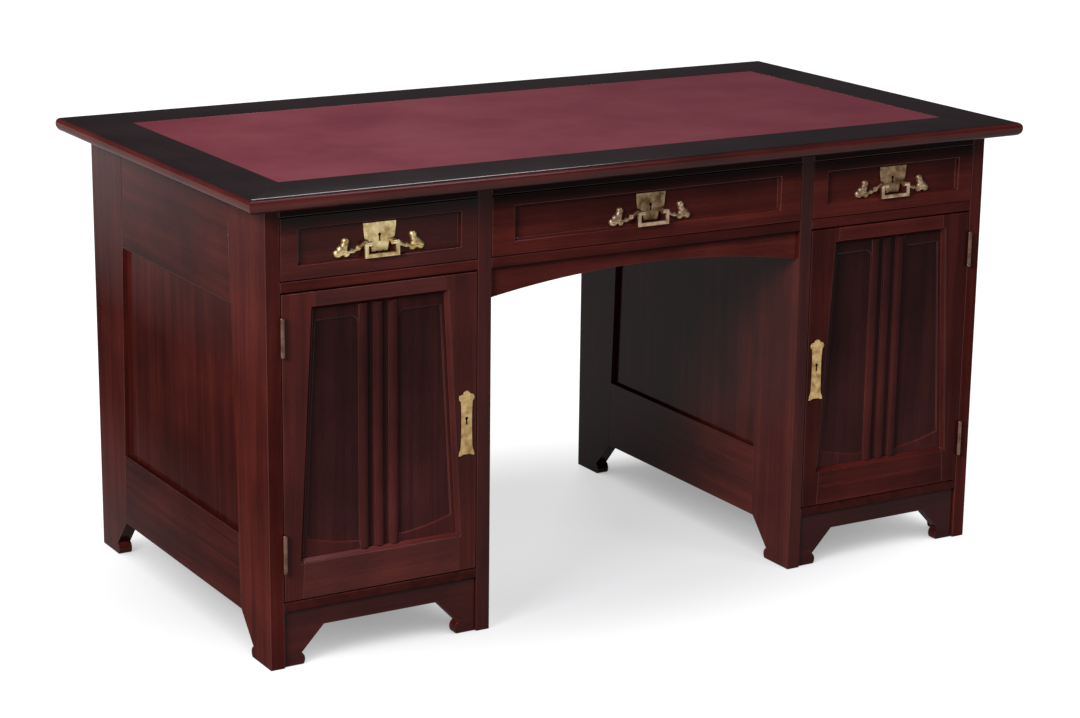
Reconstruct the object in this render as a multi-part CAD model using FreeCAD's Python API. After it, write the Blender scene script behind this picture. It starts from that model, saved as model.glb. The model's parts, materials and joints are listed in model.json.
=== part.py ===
import FreeCAD, Part
import math
import os

from FreeCAD import Vector

# Pedestal writing desk in millimetres. X runs left to right seen from the front, the front faces -Y,
# Z is up, and the origin is on the floor under the middle of the desk.

# Overall sizes
DESK_HEIGHT = 780.0
BODY_DEPTH = 720.0
PEDESTAL_WIDTH = 400.0
KNEEHOLE_WIDTH = 612.0

# Top: mitred border boards round a core board that carries the writing leather
TOP_THICKNESS = 24.0
END_OVERHANG = 46.0
FRONT_OVERHANG = 48.0
END_BORDER = 100.0
LONG_BORDER = 112.0
EDGE_UPPER_RADIUS = 9.0
EDGE_LOWER_RADIUS = 12.0
LEATHER_THICKNESS = 1.5
LEATHER_DROP = 0.2
CORE_TONGUE_LENGTH = 10.0
CORE_TONGUE_THICKNESS = 7.0

# Side frames: the stiles grow wider upwards and run down into bracket feet
FRAME_THICKNESS = 25.0
STILE_FOOT_WIDTH = 113.0
STILE_HEAD_WIDTH = 140.0
SIDE_CLEARANCE = 70.0
SIDE_BOTTOM_RAIL = 128.0
SIDE_TOP_RAIL = 179.0
PANEL_THICKNESS = 8.0
PANEL_GROOVE = 10.0
PANEL_PLAY = 1.0
TENON_LENGTH = 40.0
TENON_SHOULDER = 16.0

# Bracket feet, measured inwards from a corner of the pedestal
FOOT_PAD = 60.0
TOE_REACH = 63.0
TOE_HEIGHT = 8.0
NECK_REACH = 57.0
NECK_HEIGHT = 20.0
SIDE_FOOT_STRETCH = 1.2

# Front of a pedestal
FRONT_CLEARANCE = 62.0
BRACKET_REACH = 97.0
APRON_THICKNESS = 20.0
APRON_SETBACK = 5.0
FLOOR_HEIGHT = 93.0
FLOOR_THICKNESS = 18.0
DRAWER_RAIL_THICKNESS = 19.0
DRAWER_OPENING = 102.0
TOP_RAIL_THICKNESS = 18.0
RAIL_DEPTH = 60.0
NOSE_RADIUS = 4.0

# Kneehole
ARCH_END_DEPTH = 50.0
ARCH_RISE = 27.0
ARCH_THICKNESS = 18.0
ARCH_SETBACK = 8.0

# Inside and back
BACK_THICKNESS = 18.0
BACK_GROOVE = 6.0
RUNNER_WIDTH = 30.0
SHELF_HEIGHT = 350.0
SHELF_THICKNESS = 16.0
SHELF_SETBACK = 50.0
SHELF_PLAY = 0.5
CLEAT_WIDTH = 16.0
CLEAT_HEIGHT = 24.0
CLEAT_SETBACK = 12.0

# Doors: the stiles grow wider upwards and carry a moulded inner edge
DOOR_GAP = 1.5
DOOR_THICKNESS = 22.0
DOOR_STILE_FOOT = 31.0
DOOR_STILE_HEAD = 59.0
DOOR_TOP_RAIL = 30.0
DOOR_BOTTOM_RAIL = 66.0
DOOR_TENON_LENGTH = 22.0
DOOR_TENON_SHOULDER = 9.0
MOULDING_WIDTH = 6.0
MOULDING_DEPTH = 8.0
MOULDING_STEP = 1.5
DOOR_PANEL_DEPTH = 11.0
DOOR_PANEL_THICKNESS = 6.0
DOOR_GROOVE = 7.0

# Door panel: two sunk fields beside a band of reeds
BAND_RISE = 2.5
REED_COUNT = 3
REED_WIDTH = 17.0
REED_PITCH = 27.0
REED_RISE = 4.5
FIELD_MARGIN = 6.0
FIELD_HEAD = 19.0
FIELD_FOOT = 11.0
FIELD_DIP = 20.0
FIELD_CORNER = 14.0

# Lift-off hinges with proud knuckles: the lower one on the frame, the upper one on the door
HINGE_LENGTH = 62.0
HINGE_INSET = 43.0
HINGE_RAISE = 7.0
KNUCKLE_RADIUS = 3.8
PIN_RADIUS = 2.0
LEAF_THICKNESS = 1.5
LEAF_LET_IN = 0.9
LEAF_DEPTH = 18.0
RUNNING_CLEARANCE = 0.3

# Locks: a case let into the wood, with a bolt that slides out of it
BOLT_TRAVEL = 8.0
BOLT_LENGTH = 22.0
MORTISE_PLAY = 0.6
MORTISE_SPARE_DEPTH = 1.5
DOOR_LOCK_WIDTH = 30.0
DOOR_LOCK_HEIGHT = 60.0
DOOR_LOCK_DEPTH = 11.0
DOOR_BOLT_HEIGHT = 16.0
DOOR_BOLT_THICKNESS = 5.0
DOOR_BOLT_RAISE = 14.0
DRAWER_LOCK_WIDTH = 56.0
DRAWER_LOCK_HEIGHT = 56.0
DRAWER_LOCK_DEPTH = 12.0
DRAWER_LOCK_LET_IN = 8.0
DRAWER_BOLT_WIDTH = 22.0
DRAWER_BOLT_THICKNESS = 5.0

# Escutcheons: a waisted plate with a crown of three lobes and a flared foot
LOCK_RAISE = 9.0
ESCUTCHEON_BACKSET = 19.0
ESCUTCHEON_RISE = 35.0
ESCUTCHEON_DROP = 62.5
ESCUTCHEON_HALF_WIDTH = 10.5
ESCUTCHEON_WAIST = 9.3
ESCUTCHEON_FLARE = 14.2
ESCUTCHEON_FLARE_HEIGHT = 12.0
ESCUTCHEON_THICKNESS = 2.0
CROWN_LOBE_RADIUS = 5.8
CROWN_SPREAD = 8.2
CROWN_LIFT = 5.5
KEYHOLE_RADIUS = 2.6
KEYHOLE_SLOT_WIDTH = 2.4
KEYHOLE_SLOT_LENGTH = 9.0

# Drawers
DRAWER_GAP = 1.0
DRAWER_HEAD_GAP = 1.5
DRAWER_FRONT_THICKNESS = 20.0
DRAWER_BACK_SPACE = 120.0
DRAWER_SIDE_THICKNESS = 12.0
DRAWER_SIDE_HEIGHT = 82.0
DRAWER_BACK_DROP = 6.0
DRAWER_BOTTOM_THICKNESS = 6.0
DRAWER_BOTTOM_RAISE = 10.0
DRAWER_BOTTOM_GROOVE = 5.0
DOVETAIL_COUNT = 3
DOVETAIL_LENGTH = 14.0
DOVETAIL_ROOT = 15.0
DOVETAIL_TIP = 20.0
PEDESTAL_DRAWER_MARGIN = 30.0
CENTRE_DRAWER_MARGIN = 42.0
SUNK_FOOT_MARGIN = 22.0
SUNK_HEAD_MARGIN = 19.0
SUNK_DEPTH = 7.0
SUNK_BEVEL = 3.0

# Drawer pulls: a cast keyhole plate with an arm and a leaf at each side, and a hanging bail
PLATE_HALF_WIDTH = 28.5
PLATE_SHOULDER = 26.0
PLATE_SHOULDER_DROP = 24.0
PLATE_NECK = 15.0
PLATE_NECK_DROP = 36.0
PLATE_HOLLOW = 2.0
PLATE_FOOT = 13.0
PLATE_DROP = 46.0
PLATE_THICKNESS = 3.0
PLATE_HEADROOM = 0.5
KEYHOLE_DROP = 20.0
ARM_REACH = 60.0
ARM_SAG = 9.0
ARM_WIDTH = 6.5
ARM_THICKNESS = 3.5
EAR_DROP = 32.0
EAR_RADIUS = 4.5
EAR_CHAMFER = 2.0
EAR_WIDTH = 7.0
EAR_HALF_SPREAD = 24.5
BAIL_BAR = 5.0
BAIL_DROP = 21.5
BAIL_STAND_OFF = 1.5
BAIL_PIN_RADIUS = 1.7
BAIL_PIN_LENGTH = 5.0
LOBE_SIDES = 8
LOBE_CREST = 0.55
# Lobes of one leaf: distance from the middle, drop from the plate's top, radius and height
LEAF_LOBES = (
    (36.5, 41.0, 5.5, 5.0),
    (48.5, 41.0, 4.5, 4.5),
    (60.0, 44.5, 6.5, 5.5),
    (60.0, 28.0, 7.0, 6.0),
    (65.5, 37.0, 9.5, 7.0),
    (74.5, 43.0, 7.5, 5.5),
)

# Places worked out from the sizes above
FRONT = -BODY_DEPTH / 2
BACK = BODY_DEPTH / 2
BACK_INSIDE = BACK - BACK_THICKNESS
HALF_KNEEHOLE = KNEEHOLE_WIDTH / 2
HALF_BODY = HALF_KNEEHOLE + PEDESTAL_WIDTH
CARCASS_TOP = DESK_HEIGHT - TOP_THICKNESS
OUTER_SPAN = (-HALF_BODY, -HALF_BODY + FRAME_THICKNESS)
INNER_SPAN = (-HALF_KNEEHOLE - FRAME_THICKNESS, -HALF_KNEEHOLE)
BAY = (OUTER_SPAN[1], INNER_SPAN[0])
BAY_MIDDLE = sum(BAY) / 2
KNEEHOLE = (-HALF_KNEEHOLE, HALF_KNEEHOLE)
SIDES = (FRONT, BACK)
PANEL_LOW = SIDE_CLEARANCE + SIDE_BOTTOM_RAIL
PANEL_HIGH = CARCASS_TOP - SIDE_TOP_RAIL
TOP_RAIL_SPAN = (CARCASS_TOP - TOP_RAIL_THICKNESS, CARCASS_TOP)
DRAWER_SPAN = (TOP_RAIL_SPAN[0] - DRAWER_OPENING, TOP_RAIL_SPAN[0])
DRAWER_RAIL_SPAN = (DRAWER_SPAN[0] - DRAWER_RAIL_THICKNESS, DRAWER_SPAN[0])
FLOOR_SPAN = (FLOOR_HEIGHT, FLOOR_HEIGHT + FLOOR_THICKNESS)
RAIL_REACH = (FRONT, FRONT + RAIL_DEPTH)

DOOR_SPAN = (BAY[0] + DOOR_GAP, BAY[1] - DOOR_GAP)
DOOR_LOW = FLOOR_SPAN[1] + DOOR_GAP
DOOR_HIGH = DRAWER_RAIL_SPAN[0] - DOOR_GAP
DOOR_BACK = FRONT + DOOR_THICKNESS
DOOR_OPEN_LOW = DOOR_LOW + DOOR_BOTTOM_RAIL
DOOR_OPEN_HIGH = DOOR_HIGH - DOOR_TOP_RAIL
DOOR_PANEL_FACE = FRONT + DOOR_PANEL_DEPTH
DOOR_PANEL_CORE = (DOOR_PANEL_FACE, DOOR_PANEL_FACE + DOOR_PANEL_THICKNESS)
LOCK_LEVEL = (DOOR_LOW + DOOR_HIGH) / 2 + LOCK_RAISE
ESCUTCHEON_X = DOOR_SPAN[1] - ESCUTCHEON_BACKSET
HINGE_X = (BAY[0] + DOOR_SPAN[0]) / 2
HINGE_Y = FRONT - KNUCKLE_RADIUS - RUNNING_CLEARANCE
HINGE_LOWS = (DOOR_LOW + HINGE_INSET + HINGE_RAISE, DOOR_HIGH - HINGE_INSET - HINGE_LENGTH + HINGE_RAISE)

DRAWER_FRONT_LOW = DRAWER_SPAN[0] + DRAWER_GAP
DRAWER_FRONT_HIGH = DRAWER_SPAN[1] - DRAWER_HEAD_GAP
DRAWER_FRONT_BACK = FRONT + DRAWER_FRONT_THICKNESS
DRAWER_END = BACK - DRAWER_BACK_SPACE
SUNK_FLOOR = FRONT + SUNK_DEPTH
PLATE_TOP = DRAWER_FRONT_HIGH - SUNK_HEAD_MARGIN - SUNK_BEVEL - PLATE_HEADROOM
BAIL_Y = FRONT - BAIL_STAND_OFF - BAIL_BAR / 2
BAIL_Z = PLATE_TOP - EAR_DROP

X_AXIS = Vector(1, 0, 0)
Y_AXIS = Vector(0, 1, 0)
Z_AXIS = Vector(0, 0, 1)
ORIGIN = Vector(0, 0, 0)


# Shape helpers

def board(x, y, z):
    """Straight board: each argument is its lowest and highest place along that axis."""
    return Part.makeBox(x[1] - x[0], y[1] - y[0], z[1] - z[0], Vector(x[0], y[0], z[0]))


def in_space(axis, first, second, along):
    """Point of an outline that is drawn square to an axis."""
    if axis == "x":
        return Vector(along, first, second)
    if axis == "y":
        return Vector(first, along, second)
    return Vector(first, second, along)


def closed_wire(outline, axis, along):
    """Wire round an outline. A pair of points stands for an arc through the first to the second."""
    edges = []
    here = outline[0]
    for item in outline[1:] + outline[:1]:
        is_arc = isinstance(item[0], tuple)
        there = item[1] if is_arc else item
        start = in_space(axis, here[0], here[1], along)
        end = in_space(axis, there[0], there[1], along)
        if is_arc:
            through = in_space(axis, item[0][0], item[0][1], along)
            edges.append(Part.Arc(start, through, end).toShape())
        else:
            edges.append(Part.LineSegment(start, end).toShape())
        here = there
    return Part.Wire(edges)


def slab(outline, axis, span):
    """Outline pushed through a span along an axis."""
    face = Part.Face(closed_wire(outline, axis, span[0]))
    return face.extrude(in_space(axis, 0.0, 0.0, span[1] - span[0]))


def splayed(outer, inner, axis, span):
    """Flat-sided solid that narrows from one many-cornered outline to another along a span."""
    near = [in_space(axis, first, second, span[0]) for first, second in outer]
    far = [in_space(axis, first, second, span[1]) for first, second in inner]
    rings = [near, far]
    for number in range(len(near)):
        rings.append([near[number - 1], near[number], far[number], far[number - 1]])
    faces = [Part.Face(Part.makePolygon(ring + ring[:1])) for ring in rings]
    return Part.makeSolid(Part.makeShell(faces))


def rod(radius, start, end):
    """Round rod between two points."""
    way = end - start
    return Part.makeCylinder(radius, way.Length, start, way)


def joined(solids):
    """One solid from several that meet."""
    return solids[0].fuse(solids[1:]).removeSplitter()


def across_desk(shape):
    """Mirror image on the other side of the desk."""
    return shape.mirror(ORIGIN, X_AXIS)


def both_sides(solids):
    """Solids of the left pedestal with their mirror images."""
    return solids + [across_desk(solid) for solid in solids]


def swollen(span, extra):
    """Span made longer at both ends."""
    return (span[0] - extra, span[1] + extra)


def rounded_nose(shape):
    """Board with the two long edges of its front rounded."""
    edges = [edge for edge in shape.Edges
             if edge.BoundBox.YMax < FRONT + NOSE_RADIUS and edge.BoundBox.XLength > NOSE_RADIUS]
    return shape.makeFillet(NOSE_RADIUS, edges)


def key_slot(x, z, reach):
    """Cutter for the plain slot behind a keyhole plate, through which the key reaches the lock."""
    return board(
        (x - KEYHOLE_RADIUS, x + KEYHOLE_RADIUS), reach, (z - KEYHOLE_SLOT_LENGTH, z + KEYHOLE_RADIUS))


def keyhole(x, z, reach):
    """Cutter for the keyhole of a brass plate: a round hole with a slot below it."""
    hole = rod(KEYHOLE_RADIUS, Vector(x, reach[0], z), Vector(x, reach[1], z))
    half = KEYHOLE_SLOT_WIDTH / 2
    slot = board((x - half, x + half), reach, (z - KEYHOLE_SLOT_LENGTH, z))
    return joined([hole, slot])


# Frames: tapered stiles, rails with tenons, and a panel in a groove

def steady_growth(low, high, width_low, width_high):
    """Width of a tapered stile as a function of height."""
    def width(height):
        return width_low + (width_high - width_low) * (height - low) / (high - low)
    return width


side_stile_width = steady_growth(SIDE_CLEARANCE, CARCASS_TOP, STILE_FOOT_WIDTH, STILE_HEAD_WIDTH)
door_stile_width = steady_growth(DOOR_LOW, DOOR_HIGH, DOOR_STILE_FOOT, DOOR_STILE_HEAD)


def between_stiles(sides, width, low, high, let_in=0.0):
    """Four corners of the space between two stiles, let into them by a little if asked."""
    return [
        (sides[0] + width(low) - let_in, low),
        (sides[1] - width(low) + let_in, low),
        (sides[1] - width(high) + let_in, high),
        (sides[0] + width(high) - let_in, high),
    ]


def frame_opening(sides, width, low, high, grow):
    """Outline of a frame's opening, grown on all four sides."""
    return between_stiles(sides, width, low - grow, high + grow, grow)


def rails_with_tenons(sides, width, levels, axis, span, core, length, shoulder):
    """Rails between two stiles, and their tenons by themselves as cutters for the mortises."""
    rails = []
    tenons = []
    for low, high in levels:
        body = slab(between_stiles(sides, width, low, high), axis, span)
        ends = between_stiles(sides, width, low + shoulder, high - shoulder, length)
        tenon = slab(ends, axis, core)
        rails.append(joined([body, tenon]))
        tenons.append(tenon)
    return rails, tenons


def foot(corner, inward, reach, clearance, stretch=1.0):
    """Outline of a bracket foot, from the end of its pad up along the bracket."""
    pad = (corner + inward * FOOT_PAD * stretch, 0.0)
    toe = (corner + inward * TOE_REACH * stretch, TOE_HEIGHT)
    neck = (corner + inward * NECK_REACH * stretch, NECK_HEIGHT)
    bracket = (corner + inward * reach, clearance)
    return [pad, (toe, neck), bracket]


def side_frame(span):
    """Stiles, rails and panel of one side of a pedestal."""
    middle = sum(span) / 2
    core = swollen((middle, middle), PANEL_THICKNESS / 2)
    levels = ((SIDE_CLEARANCE, PANEL_LOW), (PANEL_HIGH, CARCASS_TOP))
    rails, tenons = rails_with_tenons(
        SIDES, side_stile_width, levels, "x", span, core, TENON_LENGTH, TENON_SHOULDER)
    groove = slab(frame_opening(SIDES, side_stile_width, PANEL_LOW, PANEL_HIGH, PANEL_GROOVE), "x", core)
    outline = [(FRONT, 0.0)] + foot(FRONT, 1, STILE_FOOT_WIDTH, SIDE_CLEARANCE, SIDE_FOOT_STRETCH)
    outline += [(FRONT + STILE_HEAD_WIDTH, CARCASS_TOP), (FRONT, CARCASS_TOP)]
    front_stile = slab(outline, "x", span).cut([groove] + tenons)
    back_stile = front_stile.mirror(ORIGIN, Y_AXIS)
    rails = [rail.cut(groove) for rail in rails]
    tongue = PANEL_GROOVE - PANEL_PLAY
    panel = slab(frame_opening(SIDES, side_stile_width, PANEL_LOW, PANEL_HIGH, tongue), "x", core)
    return front_stile, back_stile, rails, panel


# Top

def top_pieces():
    """Core board, long and end borders with a rounded edge, and the leather."""
    half_x = HALF_BODY + END_OVERHANG
    half_y = BODY_DEPTH / 2 + FRONT_OVERHANG
    inner_x = half_x - END_BORDER
    inner_y = half_y - LONG_BORDER
    height = (CARCASS_TOP, DESK_HEIGHT)

    def edge_profile(outer, inner):
        """Section of a border board from its rounded outer edge, on the low side, to its inner edge."""
        low, high = height
        slant = 1 - math.sqrt(0.5)
        upper = EDGE_UPPER_RADIUS
        lower = EDGE_LOWER_RADIUS
        return [
            (inner, low),
            (outer + lower, low),
            ((outer + lower * slant, low + lower * slant), (outer, low + lower)),
            (outer, high - upper),
            ((outer + upper * slant, high - upper * slant), (outer + upper, high)),
            (inner, high),
        ]

    leather_high = DESK_HEIGHT - LEATHER_DROP
    leather_low = leather_high - LEATHER_THICKNESS
    core_middle = (CARCASS_TOP + leather_low) / 2
    tongue = board(
        swollen((-inner_x, inner_x), CORE_TONGUE_LENGTH),
        swollen((-inner_y, inner_y), CORE_TONGUE_LENGTH),
        swollen((core_middle, core_middle), CORE_TONGUE_THICKNESS / 2))
    field = board((-inner_x, inner_x), (-inner_y, inner_y), (CARCASS_TOP, leather_low))
    core = joined([field, tongue])
    leather = board((-inner_x, inner_x), (-inner_y, inner_y), (leather_low, leather_high))

    front_plan = [(-half_x, -half_y), (half_x, -half_y), (inner_x, -inner_y), (-inner_x, -inner_y)]
    front = slab(edge_profile(-half_y, -inner_y), "x", (-half_x, half_x))
    front = front.common(slab(front_plan, "z", height)).cut(tongue)
    left_plan = [(-half_x, -half_y), (-inner_x, -inner_y), (-inner_x, inner_y), (-half_x, half_y)]
    left = slab(edge_profile(-half_x, -inner_x), "y", (-half_y, half_y))
    left = left.common(slab(left_plan, "z", height)).cut(tongue)
    return {
        "top_core": [core],
        "top_long_borders": [front, front.mirror(ORIGIN, Y_AXIS)],
        "top_end_borders": both_sides([left]),
        "writing_leather": [leather],
    }


# Pedestals

def plinth_apron():
    """Front apron of the left pedestal, cut out between its two bracket feet."""
    outline = [(BAY[0], 0.0)] + foot(OUTER_SPAN[0], 1, BRACKET_REACH, FRONT_CLEARANCE)
    outline += [(BAY_MIDDLE, FRONT_CLEARANCE), (BAY_MIDDLE, FLOOR_HEIGHT), (BAY[0], FLOOR_HEIGHT)]
    near = FRONT + APRON_SETBACK
    half = slab(outline, "y", (near, near + APRON_THICKNESS))
    return joined([half, half.mirror(Vector(BAY_MIDDLE, 0, 0), X_AXIS)])


def shelf_cleats():
    """Battens on the stiles that carry the left cupboard's shelf."""
    high = SHELF_HEIGHT
    along = (FRONT + SHELF_SETBACK + CLEAT_SETBACK, BACK_INSIDE)
    outer = board((BAY[0], BAY[0] + CLEAT_WIDTH), along, (high - CLEAT_HEIGHT, high))
    inner = board((BAY[1] - CLEAT_WIDTH, BAY[1]), along, (high - CLEAT_HEIGHT, high))
    return [outer, inner]


def cupboard_shelf():
    """Loose shelf of the left cupboard."""
    depth = (FRONT + SHELF_SETBACK, BACK_INSIDE - SHELF_PLAY)
    return board(swollen(BAY, -SHELF_PLAY), depth, (SHELF_HEIGHT, SHELF_HEIGHT + SHELF_THICKNESS))


def back_pieces():
    """Two rails and the panel that close the back of the left pedestal."""
    middle = (BACK + BACK_INSIDE) / 2
    core = swollen((middle, middle), PANEL_THICKNESS / 2)
    panel = board(swollen(BAY, BACK_GROOVE), core, (PANEL_LOW - PANEL_GROOVE, PANEL_HIGH + PANEL_GROOVE))
    rails = []
    for low, high in ((SIDE_CLEARANCE, PANEL_LOW), (PANEL_HIGH, CARCASS_TOP)):
        rails.append(board(BAY, (BACK_INSIDE, BACK), (low, high)).cut(panel))
    return rails, panel


def runners_in(span):
    """Two drawer runners along the walls of a drawer opening."""
    along = (RAIL_REACH[1], BACK_INSIDE)
    left = board((span[0], span[0] + RUNNER_WIDTH), along, DRAWER_RAIL_SPAN)
    right = board((span[1] - RUNNER_WIDTH, span[1]), along, DRAWER_RAIL_SPAN)
    return [left, right]


def arched_apron():
    """Apron over the kneehole with a shallow arch along its lower edge."""
    high = DRAWER_RAIL_SPAN[0]
    low = high - ARCH_END_DEPTH
    outline = [
        (KNEEHOLE[0], high),
        (KNEEHOLE[0], low),
        ((0.0, low + ARCH_RISE), (KNEEHOLE[1], low)),
        (KNEEHOLE[1], high),
    ]
    near = FRONT + ARCH_SETBACK
    return slab(outline, "y", (near, near + ARCH_THICKNESS))


# Hinges of the left door

def hinge_parts(low):
    """Frame leaf, door leaf and pin of one hinge, from its lower end up."""
    high = low + HINGE_LENGTH
    meeting = low + HINGE_LENGTH / 2

    def knuckle(start, end, radius):
        return rod(radius, Vector(HINGE_X, HINGE_Y, start), Vector(HINGE_X, HINGE_Y, end))

    def leaf(span, own, other):
        plate = board(span, (HINGE_Y, FRONT + LEAF_DEPTH), (low, high))
        plate = plate.cut(knuckle(other[0], other[1], KNUCKLE_RADIUS + RUNNING_CLEARANCE))
        whole = joined([plate, knuckle(own[0], own[1], KNUCKLE_RADIUS)])
        return whole.cut(knuckle(low, high, PIN_RADIUS + RUNNING_CLEARANCE))

    lower = (low, meeting - RUNNING_CLEARANCE / 2)
    upper = (meeting + RUNNING_CLEARANCE / 2, high)
    frame_leaf = leaf(frame_leaf_span(), lower, (lower[1], high))
    door_leaf = leaf(door_leaf_span(), upper, (low, upper[0]))
    return frame_leaf, door_leaf, knuckle(low, high, PIN_RADIUS)


def frame_leaf_span():
    """Place across the gap of a hinge leaf let into the side frame."""
    return (BAY[0] - LEAF_LET_IN, BAY[0] - LEAF_LET_IN + LEAF_THICKNESS)


def door_leaf_span():
    """Place across the gap of a hinge leaf let into the door."""
    return (DOOR_SPAN[0] + LEAF_LET_IN - LEAF_THICKNESS, DOOR_SPAN[0] + LEAF_LET_IN)


def leaf_pockets(span):
    """Cutters for the places of two hinge leaves in the wood behind the front face."""
    depth = (FRONT, FRONT + LEAF_DEPTH)
    return [board(span, depth, (low, low + HINGE_LENGTH)) for low in HINGE_LOWS]


# Left door

def door_opening(grow):
    """Outline of the door's opening, grown on all sides."""
    return frame_opening(DOOR_SPAN, door_stile_width, DOOR_OPEN_LOW, DOOR_OPEN_HIGH, grow)


def door_moulding():
    """Cutter for the moulded inner edge: a fine step, then a slope down to the panel."""
    step = FRONT + MOULDING_STEP
    face = slab(door_opening(MOULDING_WIDTH), "y", (FRONT, step))
    slope = splayed(door_opening(MOULDING_WIDTH), door_opening(0.0), "y", (step, FRONT + MOULDING_DEPTH))
    return [face, slope]


def dip(distance):
    """Height of the fields' curved lower edge at a distance from the middle of the door."""
    reach = (DOOR_SPAN[1] - DOOR_SPAN[0]) / 2 - door_stile_width(DOOR_OPEN_LOW) - FIELD_MARGIN
    radius = (reach ** 2 + FIELD_DIP ** 2) / (2 * FIELD_DIP)
    return DOOR_OPEN_LOW + FIELD_FOOT + radius - math.sqrt(radius ** 2 - distance ** 2)


def sunk_field():
    """Cutter for the left sunk field of the door panel."""
    def outer_edge(height):
        return DOOR_SPAN[0] + door_stile_width(height) + FIELD_MARGIN

    inner = BAY_MIDDLE - (REED_PITCH * (REED_COUNT - 1) + REED_WIDTH) / 2
    high = DOOR_OPEN_HIGH - FIELD_HEAD
    low = DOOR_OPEN_LOW + FIELD_FOOT + FIELD_DIP
    slant = FIELD_CORNER * (1 - math.sqrt(0.5))
    centre = (inner + outer_edge(low)) / 2
    outline = [
        (outer_edge(high), high),
        (inner - FIELD_CORNER, high),
        ((inner - slant, high - slant), (inner, high - FIELD_CORNER)),
        (inner, dip(BAY_MIDDLE - inner)),
        ((centre, dip(BAY_MIDDLE - centre)), (outer_edge(low), low)),
    ]
    return slab(outline, "y", (DOOR_PANEL_FACE - BAND_RISE, DOOR_PANEL_FACE))


def door_panel():
    """Panel with a raised band, two sunk fields and upright reeds."""
    band_face = DOOR_PANEL_FACE - BAND_RISE
    height = (DOOR_OPEN_LOW, DOOR_OPEN_HIGH)
    tongue = slab(door_opening(DOOR_GROOVE - PANEL_PLAY), "y", DOOR_PANEL_CORE)
    field = sunk_field()
    cuts = [field, field.mirror(Vector(BAY_MIDDLE, 0, 0), X_AXIS)]
    reeds = []
    first = BAY_MIDDLE - REED_PITCH * (REED_COUNT - 1) / 2
    for number in range(REED_COUNT):
        middle = first + number * REED_PITCH
        left = middle - REED_WIDTH / 2
        right = middle + REED_WIDTH / 2
        section = [(left, band_face), ((middle, band_face - REED_RISE), (right, band_face))]
        reeds.append(slab(section, "z", height))
        if number:
            cuts.append(board((left - REED_PITCH + REED_WIDTH, left), (band_face, DOOR_PANEL_FACE), height))
    band = slab(door_opening(0.0), "y", (band_face, DOOR_PANEL_FACE)).cut(cuts)
    return joined([tongue, band] + reeds)


def door_lock():
    """Lock case in the back of the lock stile, and the bolt that slides out of the door's edge."""
    depth = (DOOR_BACK - DOOR_LOCK_DEPTH, DOOR_BACK)
    height = swollen((LOCK_LEVEL, LOCK_LEVEL), DOOR_LOCK_HEIGHT / 2)
    block = board((DOOR_SPAN[1] - DOOR_LOCK_WIDTH, DOOR_SPAN[1]), depth, height)
    middle = sum(depth) / 2
    thickness = swollen((middle, middle), DOOR_BOLT_THICKNESS / 2)
    level = LOCK_LEVEL + DOOR_BOLT_RAISE
    tall = swollen((level, level), DOOR_BOLT_HEIGHT / 2)
    along = (DOOR_SPAN[1] - BOLT_LENGTH, DOOR_SPAN[1])
    bolt = board(along, thickness, tall)
    channel = board(
        (along[0] - RUNNING_CLEARANCE, along[1]),
        swollen(thickness, RUNNING_CLEARANCE),
        swollen(tall, RUNNING_CLEARANCE))
    thrown = BAY[1] - DOOR_GAP + BOLT_TRAVEL + MORTISE_SPARE_DEPTH
    mortise = board((BAY[1], thrown), swollen(thickness, MORTISE_PLAY), swollen(tall, MORTISE_PLAY))
    return block, channel, bolt, mortise


def escutcheon():
    """Tall keyhole plate on the lock stile."""
    low = LOCK_LEVEL - ESCUTCHEON_DROP
    high = LOCK_LEVEL + ESCUTCHEON_RISE
    flare = low + ESCUTCHEON_FLARE_HEIGHT
    x = ESCUTCHEON_X
    outline = [
        (x - ESCUTCHEON_FLARE, low),
        (x + ESCUTCHEON_FLARE, low),
        (x + ESCUTCHEON_HALF_WIDTH, flare),
        ((x + ESCUTCHEON_WAIST, LOCK_LEVEL), (x + ESCUTCHEON_HALF_WIDTH, high)),
        (x - ESCUTCHEON_HALF_WIDTH, high),
        ((x - ESCUTCHEON_WAIST, LOCK_LEVEL), (x - ESCUTCHEON_HALF_WIDTH, flare)),
    ]
    reach = (FRONT - ESCUTCHEON_THICKNESS, FRONT)
    pieces = [slab(outline, "y", reach)]
    for aside, lift in ((-CROWN_SPREAD, 0.0), (CROWN_SPREAD, 0.0), (0.0, CROWN_LIFT)):
        near = Vector(x + aside, reach[0], high + lift)
        pieces.append(rod(CROWN_LOBE_RADIUS, near, near + Y_AXIS * ESCUTCHEON_THICKNESS))
    return joined(pieces).cut(keyhole(x, LOCK_LEVEL, reach))


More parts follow.
